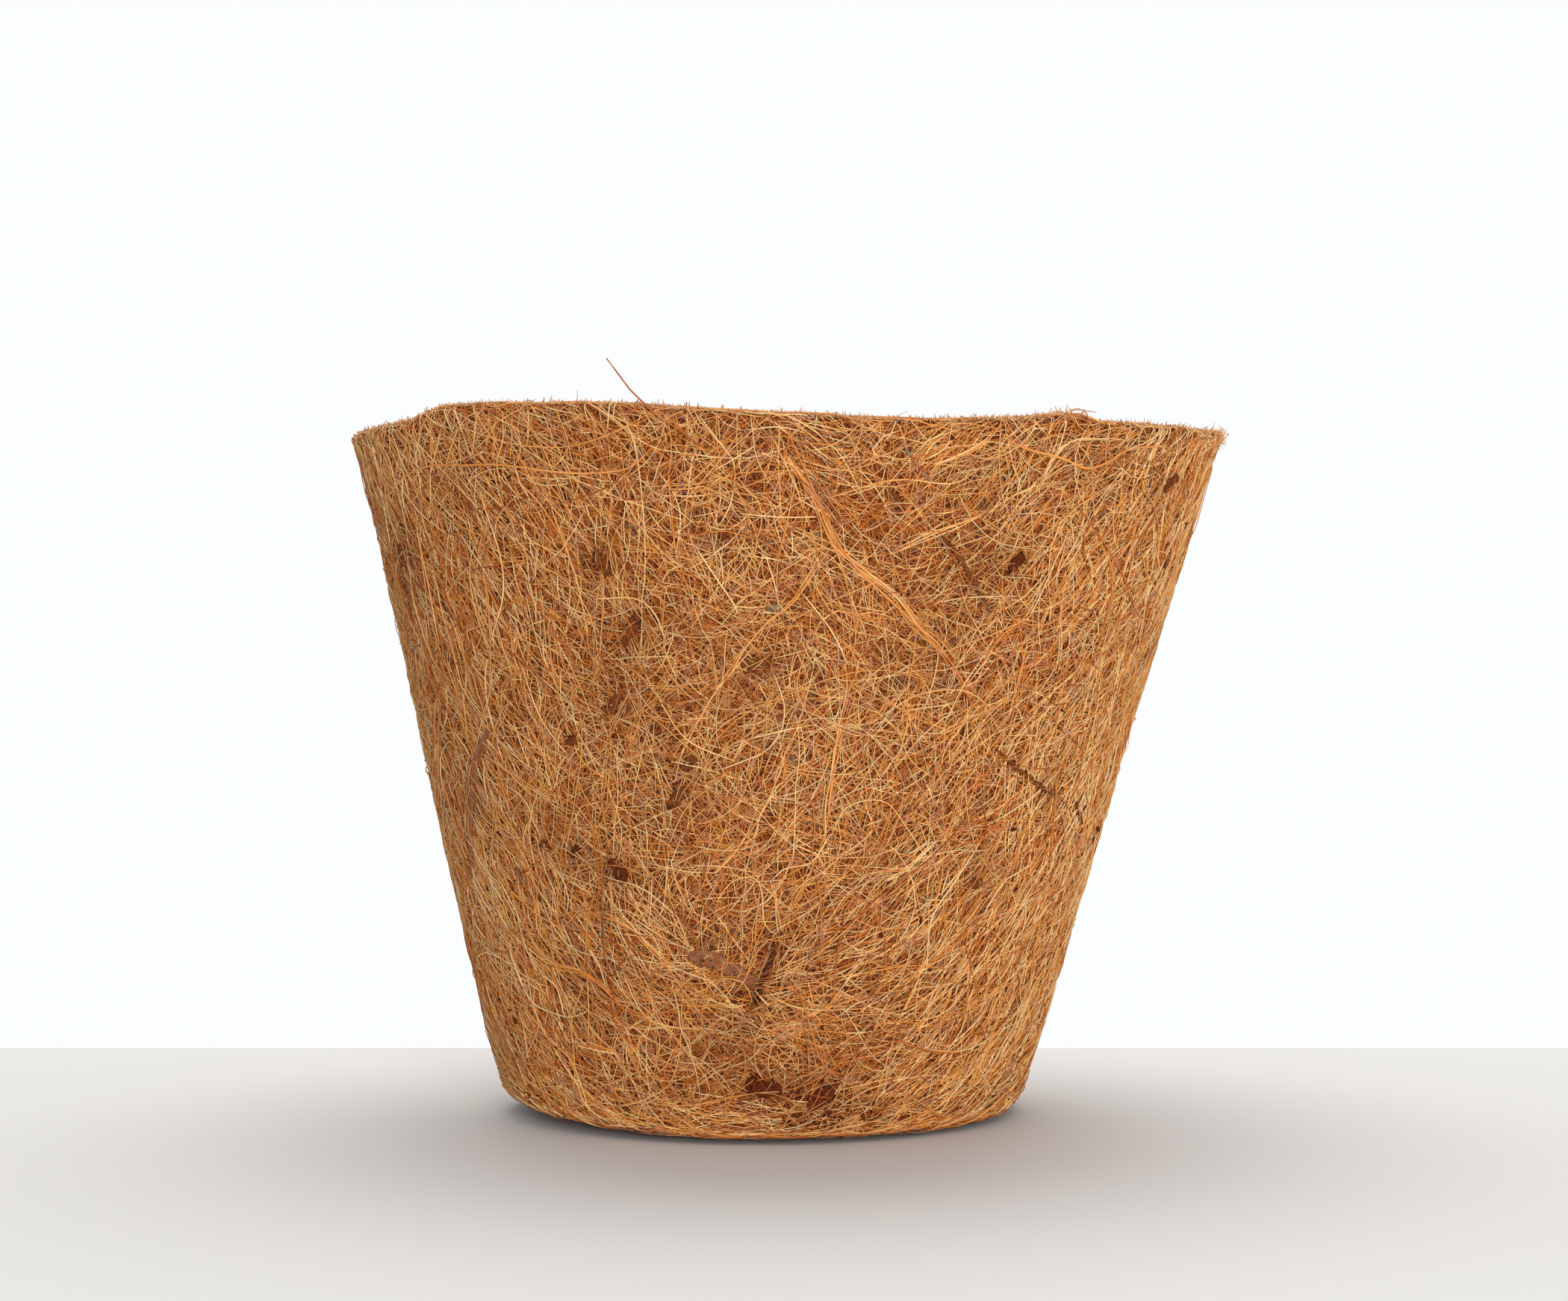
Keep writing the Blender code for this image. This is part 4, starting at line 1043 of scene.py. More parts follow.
# Coarse single fibres that the eye picks out, the thickest that the husk has, each where the photograph has
# it and held by latex. The six with names stand for packed bristles. Each: thickness in mm, tone, then its
# route: degrees from the front, share of the height.
BRISTLES = (
    ("bristle_rim_left", 0.50, 0.47, ((-66.8, 0.902), (-55.7, 0.931), (-46.4, 0.921), (-38.2, 0.920),
        (-31.1, 0.913), (-25.7, 0.909), (-19.5, 0.916), (-16.1, 0.944))),
    ("bristle_centre", 0.55, 0.42, ((0.2, 0.978), (5.4, 0.869), (9.2, 0.808), (18.5, 0.726),
        (25.2, 0.669), (29.4, 0.620))),
    ("bristle_rim_right", 0.60, 0.49, ((27.4, 0.974), (31.4, 0.955), (38.6, 0.936), (42.5, 0.938),
        (45.4, 0.950), (48.6, 0.966), (57.5, 0.974))),
    ("bristle_right", 0.40, 0.31, ((38.5, 0.908), (42.3, 0.874), (51.4, 0.812), (61.5, 0.740))),
    ("bristle_dark", 0.55, 0.20, ((13.8, 0.974), (15.6, 0.949), (18.6, 0.914))),
    ("bristle_foot_right", 0.50, 0.33, ((26.6, 0.143), (33.9, 0.126), (42.8, 0.118))),
)
SINGLE_FIBRES = (
    (0.34, 0.67, ((-42.4, 0.888), (-40.1, 0.805), (-40.9, 0.750), (-44.9, 0.694))),
    (0.28, 0.63, ((-56.6, 0.996), (-49.3, 0.921), (-43.2, 0.866))),
    (0.28, 0.60, ((-40.2, 0.990), (-42.6, 0.933))),
    (0.28, 0.61, ((-36.2, 0.987), (-36.9, 0.950), (-38.4, 0.922), (-38.2, 0.896))),
    (0.42, 0.48, ((-36.6, 0.909), (-32.5, 0.874), (-29.7, 0.833))),
    (0.34, 0.63, ((-25.7, 0.751), (-19.5, 0.753), (-16.8, 0.735), (-15.4, 0.700))),
    (0.32, 0.70, ((-9.9, 0.989), (-8.0, 0.962), (-6.1, 0.935), (-5.9, 0.915), (-6.4, 0.878),
        (-7.9, 0.849))),
    (0.30, 0.73, ((-3.3, 0.957), (-5.9, 0.938), (-8.1, 0.923))),
    (0.32, 0.47, ((1.5, 0.909), (0.7, 0.858), (-0.3, 0.803), (-0.2, 0.754))),
    (0.30, 0.73, ((-5.3, 0.867), (0.2, 0.864), (4.5, 0.866))),
    (0.34, 0.82, ((-11.0, 0.823), (-8.5, 0.786), (-5.8, 0.747), (-5.5, 0.735))),
    (0.30, 0.75, ((-1.9, 0.814), (-0.6, 0.776), (-0.3, 0.762))),
    (0.34, 0.73, ((3.2, 0.763), (7.3, 0.714), (9.9, 0.669))),
    (0.32, 0.47, ((6.1, 0.842), (7.7, 0.808), (9.5, 0.755), (10.6, 0.708), (10.3, 0.669))),
    (0.36, 0.60, ((6.0, 0.892), (11.4, 0.914), (15.4, 0.920), (21.2, 0.914), (24.5, 0.931))),
    (0.40, 0.57, ((59.6, 0.824), (62.7, 0.789), (71.2, 0.760))),
    (0.26, 0.61, ((57.4, 0.817), (62.7, 0.826), (66.5, 0.825), (72.9, 0.808))),
    (0.30, 0.76, ((58.5, 0.986), (60.0, 0.961), (58.4, 0.935))),
    (0.34, 0.63, ((-26.5, 0.241), (-23.2, 0.186), (-18.5, 0.168), (-10.8, 0.164))),
    (0.32, 0.72, ((-46.6, 0.232), (-42.2, 0.212), (-41.2, 0.168))),
    (0.34, 0.61, ((-48.9, 0.144), (-41.5, 0.111), (-39.5, 0.072), (-38.3, 0.025))),
    (0.32, 0.67, ((-46.2, 0.127), (-40.6, 0.071), (-39.2, 0.039), (-34.4, 0.013))),
    (0.30, 0.60, ((-48.4, 0.215), (-49.8, 0.176), (-49.3, 0.151), (-57.7, 0.088))),
    (0.26, 0.72, ((-74.4, 0.229), (-64.8, 0.249), (-54.5, 0.239))),
    (0.28, 0.58, ((-34.2, 0.235), (-34.8, 0.187), (-35.8, 0.140))),
    (0.36, 0.61, ((-8.6, 0.343), (-6.0, 0.372), (-2.6, 0.379), (-1.1, 0.360), (-0.5, 0.315), (1.5, 0.298))),
    (0.34, 0.72, ((0.3, 0.372), (2.4, 0.390), (6.8, 0.400), (9.2, 0.435))),
    (0.38, 0.39, ((-0.1, 0.215), (2.6, 0.226), (6.0, 0.215), (7.5, 0.192), (10.2, 0.136), (12.4, 0.110),
        (16.2, 0.097))),
    (0.40, 0.82, ((-1.8, 0.218), (0.8, 0.199))),
    (0.34, 0.81, ((36.7, 0.429), (32.5, 0.367), (29.2, 0.313), (30.2, 0.238))),
    (0.26, 0.70, ((5.1, 0.062), (9.8, 0.059), (14.0, 0.064), (16.7, 0.097))),
    (0.34, 0.63, ((9.0, 0.558), (8.7, 0.509), (8.3, 0.480), (8.7, 0.431))),
    (0.32, 0.63, ((9.8, 0.440), (11.3, 0.472), (14.6, 0.484), (18.2, 0.479), (21.9, 0.445), (25.8, 0.406))),
    (0.30, 0.70, ((16.7, 0.968), (19.5, 0.986))),
    (0.40, 0.23, ((20.2, 0.848), (22.8, 0.814), (27.4, 0.760), (30.2, 0.739))),
    (0.36, 0.29, ((57.9, 0.474), (60.5, 0.453), (62.9, 0.434))),
    (0.34, 0.58, ((-58.5, 0.862), (-58.2, 0.779), (-58.6, 0.697))),
    (0.30, 0.66, ((-39.1, 0.666), (-36.8, 0.596), (-32.7, 0.545))),
    (0.34, 0.60, ((15.4, 0.598), (20.6, 0.628), (27.6, 0.633), (33.3, 0.607))),
    (0.36, 0.63, ((-17.1, 0.628), (-12.8, 0.568), (-5.6, 0.538))),
)


# Sheaves that the photograph shows: strands, how far they spread, thickness, tone, then the route as above.
BUNDLES = (
    (8, 0.00095, 0.25, 0.50, ((-0.1, 0.947), (3.9, 0.893), (5.8, 0.853), (7.7, 0.824), (11.7, 0.792),
        (15.6, 0.763), (19.2, 0.722), (23.0, 0.692), (29.4, 0.620))),
    (3, 0.00040, 0.28, 0.52, ((-6.7, 0.648), (-5.1, 0.681), (-1.6, 0.722), (2.0, 0.754), (5.4, 0.816))),
    (4, 0.00060, 0.26, 0.62, ((18.8, 0.936), (19.6, 0.943), (22.9, 0.958), (25.5, 0.972))),
    (3, 0.00050, 0.28, 0.60, ((17.2, 0.947), (19.8, 0.967), (21.5, 0.982))),
    (4, 0.00060, 0.26, 0.60, ((14.6, 0.820), (19.6, 0.846), (23.5, 0.862), (26.4, 0.873))),
    (4, 0.00060, 0.32, 0.47, ((-43.7, 0.245), (-36.1, 0.240), (-32.0, 0.223), (-28.0, 0.197))),
    (4, 0.00060, 0.32, 0.48, ((-40.4, 0.131), (-34.3, 0.131), (-29.7, 0.124), (-29.0, 0.102))),
    (3, 0.00050, 0.26, 0.68, ((27.5, 0.423), (23.3, 0.391), (19.5, 0.370))),
    (3, 0.00050, 0.32, 0.58, ((0.3, 0.372), (1.7, 0.330), (2.5, 0.301))),
    (4, 0.00080, 0.28, 0.50, ((9.4, 0.700), (10.6, 0.640), (9.6, 0.580), (8.9, 0.500), (8.6, 0.440),
        (6.5, 0.380), (3.2, 0.320))),
    (3, 0.00070, 0.28, 0.50, ((-3.5, 0.700), (-8.0, 0.640), (-11.5, 0.585), (-14.5, 0.540))),
    (3, 0.00070, 0.28, 0.54, ((9.5, 0.560), (5.5, 0.600), (3.0, 0.640), (4.0, 0.690))),
)


SINGLE_STEP = 0.0018
SINGLE_STAND = 0.00030
SINGLE_DIVE = 0.0004
SINGLE_TONE_CHANGE = 0.05
STRAND_TWIST = 9e4
MILLIMETRE = 0.001


def single_fibre(thickness, tone, places, stand=SINGLE_STAND, aside=0.0):
    """One fibre on a smooth line through its places, as a five-sided tube, or one strand that far aside."""
    places = np.array(places)
    ends = np.concatenate([2.0 * places[:1] - places[1:2], places, 2.0 * places[-1:] - places[-2:-1]])
    line = []
    for before, here, after, beyond in zip(ends, ends[1:], ends[2:], ends[3:]):
        level = math.radians(after[0] - here[0]) * MIDDLE_RADIUS
        span = math.hypot(level, (after[1] - here[1]) * WALL_HEIGHT)
        t = np.arange(0.0, 1.0, min(0.5, SINGLE_STEP / span))[:, None]
        squared = 2.0 * before - 5.0 * here + 4.0 * after - beyond
        cubed = 3.0 * here - before - 3.0 * after + beyond
        line.append(0.5 * (2.0 * here + (after - before) * t + squared * t**2 + cubed * t**3))
    line = np.concatenate(line + [places[-1:]])
    share = np.linspace(0.0, 1.0, len(line))
    turn = np.radians(line[:, 0])
    run = run_at(line[:, 1])
    radius = np.interp(run, RUN, RUN_RADIUS)
    along_turn = np.gradient(turn) * radius
    along_run = np.gradient(run)
    size = np.hypot(along_turn, along_run)
    wander = aside * (0.6 + 0.7 * np.sin(5.0 * share + aside * STRAND_TWIST))
    turn = turn - wander * along_run / size / radius
    run = np.minimum(run + wander * along_turn / size, RIM_RUN - 0.0005)
    out = stand - SINGLE_DIVE * near_end(share, 0.12)
    radius = thickness * (MILLIMETRE / 2.0) * tapered(share, 0.5)
    tones = tone + SINGLE_TONE_CHANGE * np.sin(9.0 * share + thickness * 40.0)
    return felt_tube(turn[None, :], run[None, :], out[None, :], radius[None, :], tones[None, :], sides=5)


for node, thickness, tone, places in BRISTLES:
    piece = fibre_piece(node + "_fibre", [single_fibre(thickness, tone, places)], fibre_finish)
    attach(piece, "root")
    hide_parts(node)
batches = [single_fibre(*fibre) for fibre in SINGLE_FIBRES]
# The strands of a sheaf differ a little in place, thickness, tone and height over the felt.
STRAND_SHIFT = 0.00008
STRAND_THICKNESSES = (0.8, 1.15)
STRAND_TONES = 0.11
STRAND_STANDS = (0.00002, 0.00028)
dice = np.random.default_rng(160)
for strands, spread, thickness, tone, places in BUNDLES:
    for aside in np.linspace(-spread, spread, strands) + dice.normal(0.0, STRAND_SHIFT, strands):
        own_thickness = thickness * dice.uniform(*STRAND_THICKNESSES)
        own_tone = tone + dice.normal(0.0, STRAND_TONES)
        batches.append(single_fibre(own_thickness, own_tone, places, dice.uniform(*STRAND_STANDS), aside))
piece = fibre_piece("single_fibres", batches, fibre_finish)
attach(piece, "root")

# The inner face. The same felt, rougher and less combed, since only the plug of the press touched it.
INNER_SECTORS = ("inside_front", "inside_right", "inside_back", "inside_left")
# Each depth: points, fibres, length and its spread, lowest and highest middle, tone.
INNER_DEPTHS = (
    (7, 1900, 0.020, 0.30, -0.00045, -0.00015, 0.38),
    (13, 1100, 0.036, 0.35, -0.00020, 0.00012, 0.47),
)
INNER_THICKNESS = 0.00031
# The fibres of the inner face and of the base disc are all darkened and reddened by this share.
INNER_DARKENING = 0.25
INNER_WAVE = 0.00012
INNER_WAVES = (1.5, 4.0)
INNER_TONES = 0.15
INNER_START = INNER_RUN + 0.0002
INNER_END = END_RUN - 0.0012
inner_runs, inner_share = even_shares(INNER_RUN + 0.0008, END_RUN - 0.0030)
for sector, sector_name in enumerate(INNER_SECTORS):
    dice = np.random.default_rng(200 + sector)
    start = math.tau * (sector - 0.5) / len(INNER_SECTORS)
    batches = []
    for points, count, length, length_spread, low, high, tone in INNER_DEPTHS:
        turn = dice.uniform(start, start + math.tau / len(INNER_SECTORS), count)
        run = np.interp(dice.uniform(0.0, 1.0, count), inner_share, inner_runs)
        heading = dice.uniform(-1.5, 1.5, count)
        lengths = uneven(dice, length, length_spread, count)
        curl = dice.normal(0.0, CURLS[1], count)
        turns, runs, _ = grow(dice, turn, run, heading, lengths, curl, points, INNER_START, INNER_END, 0.0)
        each = (len(turns), 1)
        share = np.linspace(0.0, 1.0, points)[None, :]
        waves = share * dice.uniform(*INNER_WAVES, each) + dice.uniform(0.0, 1.0, each)
        out = dice.uniform(low, high, each) + INNER_WAVE * np.sin(math.tau * waves)
        out = out - DIVE_DEPTH * near_end(share, 0.12)
        radius = uneven(dice, INNER_THICKNESS / 2.0, 0.22, each, 0.00009, 0.00026)
        patches = 2.0 * TONE_PATCHES * patchy(turns, runs, TONE_PATCH_SIZE, 42)
        tones = np.clip(dice.normal(tone, INNER_TONES, each) + patches, 0.0, 1.0)
        batches.append(felt_tube(turns, runs, out, radius, tones, INNER_DARKENING))
    piece = fibre_piece("fibres_" + sector_name, batches, fibre_finish)
    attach(piece, "root")
    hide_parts("wall_felt")


# The base's fibres. The disc is cut from the same needled felt: its fibres are level and tangled on the
# inside floor, and pressed flat on the underside. Each face: name, seed, fibres, length, how far out they go.
BASE_FIBRES = (
    ("floor_inside", 220, 3600, 0.022, base_side - 0.0010),
    ("floor_underside", 221, 2200, 0.020, BASE_FLAT + 0.0028),
)
BASE_POINTS = 11
BASE_CURL = 28.0
BASE_WAVE = 0.00010
BASE_TONE = 0.44
BASE_THICKNESSES = (0.00015, 0.00009, 0.00022)
FLOOR_STANDS = (-0.00045, 0.00005)
UNDERSIDE_STANDS = (0.00010, 0.00030)


def floor_height(radius):
    """The height of the inside floor, with its step up to the seat."""
    return np.interp(radius, (BASE_FLAT - BASE_STEP_WIDTH, BASE_FLAT), (BASE_THICKNESS, base_top))


def level_tube(dice, radius, turn, height, share, tone):
    """Fibres that lie level on the base disc, as tubes."""
    each = (len(radius), 1)
    centre = press(radius, turn, height) + SHIFT
    middle, least, most = BASE_THICKNESSES
    thick = uneven(dice, middle, 0.2, each, least, most) * tapered(share, 0.6)
    tones = np.clip(dice.normal(tone, 0.14, each), 0.0, 1.0)
    return tube(centre, np.array([0.0, 0.0, 1.0]), thick, tones, INNER_DARKENING)


def disc_fibres(name, seed, count, length, reach):
    """Fibres on the base disc: on the inside floor, or on the flat underside."""
    dice = np.random.default_rng(seed)
    each = (count, 1)
    share = np.linspace(0.0, 1.0, BASE_POINTS)[None, :]
    middle = reach * np.sqrt(dice.uniform(0.0, 1.0, each))
    place = dice.uniform(0.0, math.tau, each)
    bend = dice.normal(0.0, BASE_CURL, each)
    lengths = uneven(dice, length, 0.35, each)
    heading = dice.uniform(0.0, math.tau, each) + bend * lengths * (share - 0.5)
    step = lengths / (BASE_POINTS - 1)
    x = middle * np.sin(place) + np.cumsum(np.cos(heading), axis=1) * step
    y = middle * np.cos(place) + np.cumsum(np.sin(heading), axis=1) * step
    radius = np.hypot(x, y)
    kept = radius.max(axis=1) < reach + 0.0005
    x, y, radius = x[kept], y[kept], radius[kept]
    each = (len(radius), 1)
    wave = BASE_WAVE * np.sin(math.tau * (share * 3.0 + dice.uniform(0.0, 1.0, each)))
    if name == "floor_inside":
        height = floor_height(radius) + dice.uniform(*FLOOR_STANDS, each) + wave
    else:
        height = dice.uniform(*UNDERSIDE_STANDS, each) + 0.3 * wave
    return level_tube(dice, radius, np.arctan2(x, y), height, share, BASE_TONE)


for face in BASE_FIBRES:
    piece = fibre_piece("fibres_" + face[0], [disc_fibres(*face)], fibre_finish)
    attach(piece, "root")
    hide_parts("base_disc")

# The corner of the inside, where the floor meets the wall. There the press pushed the loose fibres round, so
# that short ones lie along the corner, at a slant and curled.
CORNER_EACH = (2600, 1)
CORNER_WIDTH = 0.0085
CORNER_LENGTH = 0.010
CORNER_SLANT = 0.35
CORNER_CURL = 30.0
CORNER_STANDS = (-0.00025, 0.00035)
CORNER_GAP = 0.0003
CORNER_UNEVEN = 0.0012
CORNER_TONE = 0.42
dice = np.random.default_rng(222)
share = np.linspace(0.0, 1.0, 9)[None, :]
lengths = uneven(dice, CORNER_LENGTH, 0.40, CORNER_EACH)
corner = base_side - CORNER_GAP
middle = corner - CORNER_WIDTH * dice.uniform(0.0, 1.0, CORNER_EACH)
radius = middle + dice.normal(0.0, CORNER_SLANT, CORNER_EACH) * lengths * (share - 0.5)
radius = radius + dice.normal(0.0, CORNER_CURL, CORNER_EACH) * lengths**2 * (share - 0.5) ** 2
radius = np.minimum(radius, corner - dice.uniform(0.0, CORNER_UNEVEN, CORNER_EACH))
turn = dice.uniform(0.0, math.tau, CORNER_EACH) + lengths * (share - 0.5) / middle
wave = BASE_WAVE * np.sin(math.tau * (2.0 * share + dice.uniform(0.0, 1.0, CORNER_EACH)))
height = floor_height(radius) + dice.uniform(*CORNER_STANDS, CORNER_EACH) + wave
batches = [level_tube(dice, radius, turn, height, share, CORNER_TONE)]
piece = fibre_piece("fibres_floor_corner", batches, fibre_finish)
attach(piece, "root")
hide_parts("base_disc")

# The cut rim. The blank was trimmed with a knife, so its edge is a narrow crushed band of cut ends, paler and
# pinker than the faces, with a few fibres bent along it and some that stand proud.
STUB_ROOT = -0.0004
RIM_TONE = 0.56


def stub_fibres(turn, run, aside, along, rise, thick, tone, points, bend=0.0):
    """Short fibres that start in the felt and come out of it: aside and along are how far they lean."""
    share = np.linspace(0.0, 1.0, points)[None, :]
    turn, run, aside, along, rise, thick, tone = [
        np.broadcast_to(value, turn.shape)[:, None]
        for value in (turn, run, aside, along, rise, thick, tone)]
    turns = turn + (aside * share + bend * share**2) / np.interp(run, RUN, RUN_RADIUS)
    runs = run + along * share
    out = STUB_ROOT + (rise - STUB_ROOT) * share
    centre = felt_point(turns, runs, out)
    tangent = felt_point(turns + 0.01, runs, out) - centre
    radius = thick * (1.0 - 0.45 * share**2)
    return tube(centre, unit(tangent), radius, tone)


# The cut ends: where they start across the rim, how far they lean aside and over it, how high they stand.
STUBS = 9000
STUB_BAND = (RIM_RUN - 0.0003, INNER_RUN + 0.0012)
STUB_ASIDE = 0.0006
STUB_ALONG = 0.0005
STUB_HEIGHT = 0.00020
HIGHEST_STUB = 0.0013
dice = np.random.default_rng(300)
stub_turn = dice.uniform(0.0, math.tau, STUBS)
stub_run = dice.uniform(*STUB_BAND, STUBS)
stub_rise = dice.gamma(2.0, STUB_HEIGHT, STUBS) - 0.00015
stub_aside = dice.normal(0.0, STUB_ASIDE, STUBS)
stub_along = dice.normal(0.0, STUB_ALONG, STUBS)
stub_thick = dice.uniform(0.00009, 0.00019, STUBS)
stub_tone = np.clip(dice.normal(RIM_TONE, 0.20, STUBS), 0.0, 1.0)
batches = [stub_fibres(stub_turn, stub_run, stub_aside, stub_along, np.minimum(stub_rise, HIGHEST_STUB),
                       stub_thick, stub_tone, points=3)]
# Fibres that the knife bent along the rim.
LYING = 700
LYING_POINTS = 9
lying_turn = dice.uniform(0.0, math.tau, LYING)
lying_run = dice.uniform(RIM_RUN + 0.0002, INNER_RUN + 0.0005, LYING)
lying_heading = dice.normal(0.0, 0.10, LYING)
lying_length = dice.uniform(0.006, 0.022, LYING)
lying_curl = dice.normal(0.0, 20.0, LYING)
turns, runs, _ = grow(dice, lying_turn, lying_run, lying_heading, lying_length, lying_curl, LYING_POINTS,
                      RIM_RUN - 0.0010, INNER_RUN + 0.0030, 0.0)
each = (len(turns), 1)
share = np.linspace(0.0, 1.0, LYING_POINTS)[None, :]
out = dice.uniform(-0.0003, 0.00025, each) + STUB_ROOT * near_end(share, 0.2)
radius = dice.uniform(0.00009, 0.00018, each)
batches.append(felt_tube(turns, runs, out, radius, np.clip(dice.normal(RIM_TONE, 0.13, each), 0.0, 1.0)))
# Hairs that stand over the rim, as in the photograph: degrees, lean aside, height over the rim, thickness
# in mm.
HAIR_TONE = 0.72
RIM_HAIRS = (
    (-36.4, 0.0010, 0.0010, 0.30), (-32.6, 0.0014, 0.0009, 0.26), (-29.5, 0.0003, 0.0015, 0.34),
    (-25.7, 0.0, 0.0026, 0.22), (-17.2, -0.0003, 0.0010, 0.26), (12.6, 0.0027, 0.0016, 0.26),
    (33.4, 0.0009, 0.0013, 0.30), (35.0, -0.0006, 0.0016, 0.30), (36.2, 0.0004, 0.0019, 0.34),
    (37.4, -0.0009, 0.0013, 0.26), (38.6, 0.0012, 0.0016, 0.30), (39.8, 0.0002, 0.0010, 0.30),
    (60.2, 0.0005, 0.0012, 0.26), (70.0, 0.0030, 0.0015, 0.22), (75.5, 0.0035, 0.0024, 0.22),
    (84.0, 0.0020, 0.0012, 0.26),
)
for degrees, aside, rise, thickness in RIM_HAIRS:
    batches.append(stub_fibres(np.array([math.radians(degrees)]), RIM_RUN + 0.0008, aside, 0.0, rise,
                               thickness * (MILLIMETRE / 2.0), HAIR_TONE, points=6, bend=0.3 * aside))
# More of them round the back.
HAIRS = 90
hair_turn = dice.uniform(math.radians(95.0), math.radians(265.0), HAIRS)
batches.append(stub_fibres(
    hair_turn, RIM_RUN + dice.uniform(0.0, 0.0025, HAIRS), dice.normal(0.0, 0.0012, HAIRS), 0.0,
    dice.uniform(0.0006, 0.0018, HAIRS), dice.uniform(0.0001, 0.00016, HAIRS), 0.65, points=5, bend=0.0004))
# Frayed ends at the right corner, and hairs that arch over the rim at the tuft. Each arch: places as degrees,
# share of the height and how far it stands off the felt.
FRAYED = 46
frayed_turn = np.radians(dice.uniform(76.0, 97.0, FRAYED))
batches.append(stub_fibres(
    frayed_turn, RIM_RUN - dice.uniform(0.0002, 0.0030, FRAYED), dice.normal(0.0, 0.0012, FRAYED),
    dice.normal(0.0002, 0.0012, FRAYED), dice.uniform(0.0003, 0.0019, FRAYED),
    dice.uniform(0.00008, 0.00015, FRAYED), 0.60, points=6, bend=0.0004))
ARCHES = (
    ((33.6, 0.988, 0.0), (35.0, 1.001, 0.0002), (36.8, 1.006, 0.0002), (38.4, 1.001, 0.0002),
        (39.8, 0.988, 0.0)),
    ((34.6, 0.990, 0.0), (36.2, 1.003, 0.0), (38.0, 1.005, 0.0), (39.2, 0.996, 0.0)),
    ((36.0, 0.990, 0.0), (37.8, 1.003, 0.0006), (39.6, 1.006, 0.0008)),
    ((82.0, 0.985, 0.0), (84.5, 0.999, 0.0008), (87.5, 1.000, 0.0010), (90.0, 0.986, 0.0004)),
)


STANDING_POINTS = 22
STANDING_OUT = 0.0003
ARCH_THICKNESS = 0.00024
ARCH_TONE = 0.36


def standing_fibre(places, thickness, tone):
    """One fibre through places that stand off the felt or over the rim, as a five-sided tube."""
    along = np.linspace(0.0, 1.0, STANDING_POINTS)
    at = along * (len(places) - 1.0)
    degrees, share, stand = [np.interp(at, range(len(places)), part) for part in zip(*places)]
    height = share * WALL_HEIGHT
    radius = cone_radius(height) + lip_flare(height) + STANDING_OUT + stand
    centre = (press(radius, np.radians(degrees), height) + SHIFT)[None, :, :]
    normal = unit(centre * np.array([1.0, 1.0, 0.0]))
    return tube(centre, normal, thickness / 2.0 * tapered(along, 0.5), tone, sides=5)


batches += [standing_fibre(places, ARCH_THICKNESS, ARCH_TONE) for places in ARCHES]
# Cut ends of coir: matt and paler than the fibre's skin, since the cut shows its dry, porous inside. Their
# tone changes every 3 mm or so.
CUT_TONES_PER_METRE = 300.0
CUT_TONE_CHANGE = 0.3
rim_finish, tree, shader = new_material("cut coir ends", 0.75, 1.5, 0.25)
tone = add_node(tree, "ShaderNodeAttribute", attribute_name="tone")
where = add_node(tree, "ShaderNodeTexCoord").outputs["Object"]
cloud = add_node(tree, "ShaderNodeTexNoise", {"Vector": where, "Scale": CUT_TONES_PER_METRE, "Detail": 2.0})
varied = add_node(tree, "ShaderNodeMath", {
    0: cloud.outputs["Fac"], 1: CUT_TONE_CHANGE, 2: tone.outputs["Fac"]}, operation="MULTIPLY_ADD")
rim_ramp = add_node(tree, "ShaderNodeValToRGB", {"Fac": varied.outputs["Value"]}, stops=(
    (0.2, "#8f4f26"), (0.99, "#f3d8b0"), (0.5, "#bf7c45"), (0.75, "#dca670")))
tree.links.new(rim_ramp.outputs["Color"], shader.inputs["Base Color"])
piece = fibre_piece("rim_cut_ends", batches, rim_finish)
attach(piece, "root")
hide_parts("wall_felt")

# The loose bristle that stands off the rim left of the middle. Each place: degrees, share of the height, and
# how far it stands off the felt.
LOOSE_BRISTLE = ((-9.4, 0.948, 0.0), (-12.1, 0.967, 0.0002), (-15.2, 0.988, 0.0005),
    (-17.9, 1.017, 0.0013), (-20.4, 1.057, 0.0020))
LOOSE_THICKNESS = 0.00042
LOOSE_TONE = 0.27
loose = standing_fibre(LOOSE_BRISTLE, LOOSE_THICKNESS, LOOSE_TONE)
piece = fibre_piece("bristle_loose_fibre", [loose], fibre_finish)
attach(piece, "root")
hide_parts("bristle_loose")

# Pith dust: crumbs of the husk's pith, 0.3 to 1.2 mm, that the carding left in the fibre and the latex
# caught. They gather near the foot. Each cluster: degrees, share of the height, reach in metres, crumbs.
PITH_CLUSTERS = (
    (6.5, 0.075, 0.0030, 26), (7.5, 0.030, 0.0030, 22), (14.0, 0.030, 0.0040, 30),
    (0.5, 0.085, 0.0040, 18), (22.5, 0.036, 0.0030, 14), (-25.0, 0.385, 0.0050, 12),
    (-60.0, 0.015, 0.0050, 14), (12.0, 0.060, 0.0050, 20), (-13.0, 0.510, 0.0060, 12),
    (32.0, 0.800, 0.0050, 8),
)
LOOSE_CRUMBS = 520
TOWARDS_FOOT = 1.25
CRUMB_SIZE = 0.00024
CRUMB_SPREAD = 0.45
SMALLEST_CRUMB = 0.00010
LARGEST_CRUMB = 0.00060
CRUMB_LUMPS = (0.55, 1.25)
CRUMB_FLATNESS = 0.7
CRUMB_SIDES = 6
CRUMB_RINGS = ((0.55, 0.85), (-0.35, 0.95))
CRUMB_FOOT = -0.9


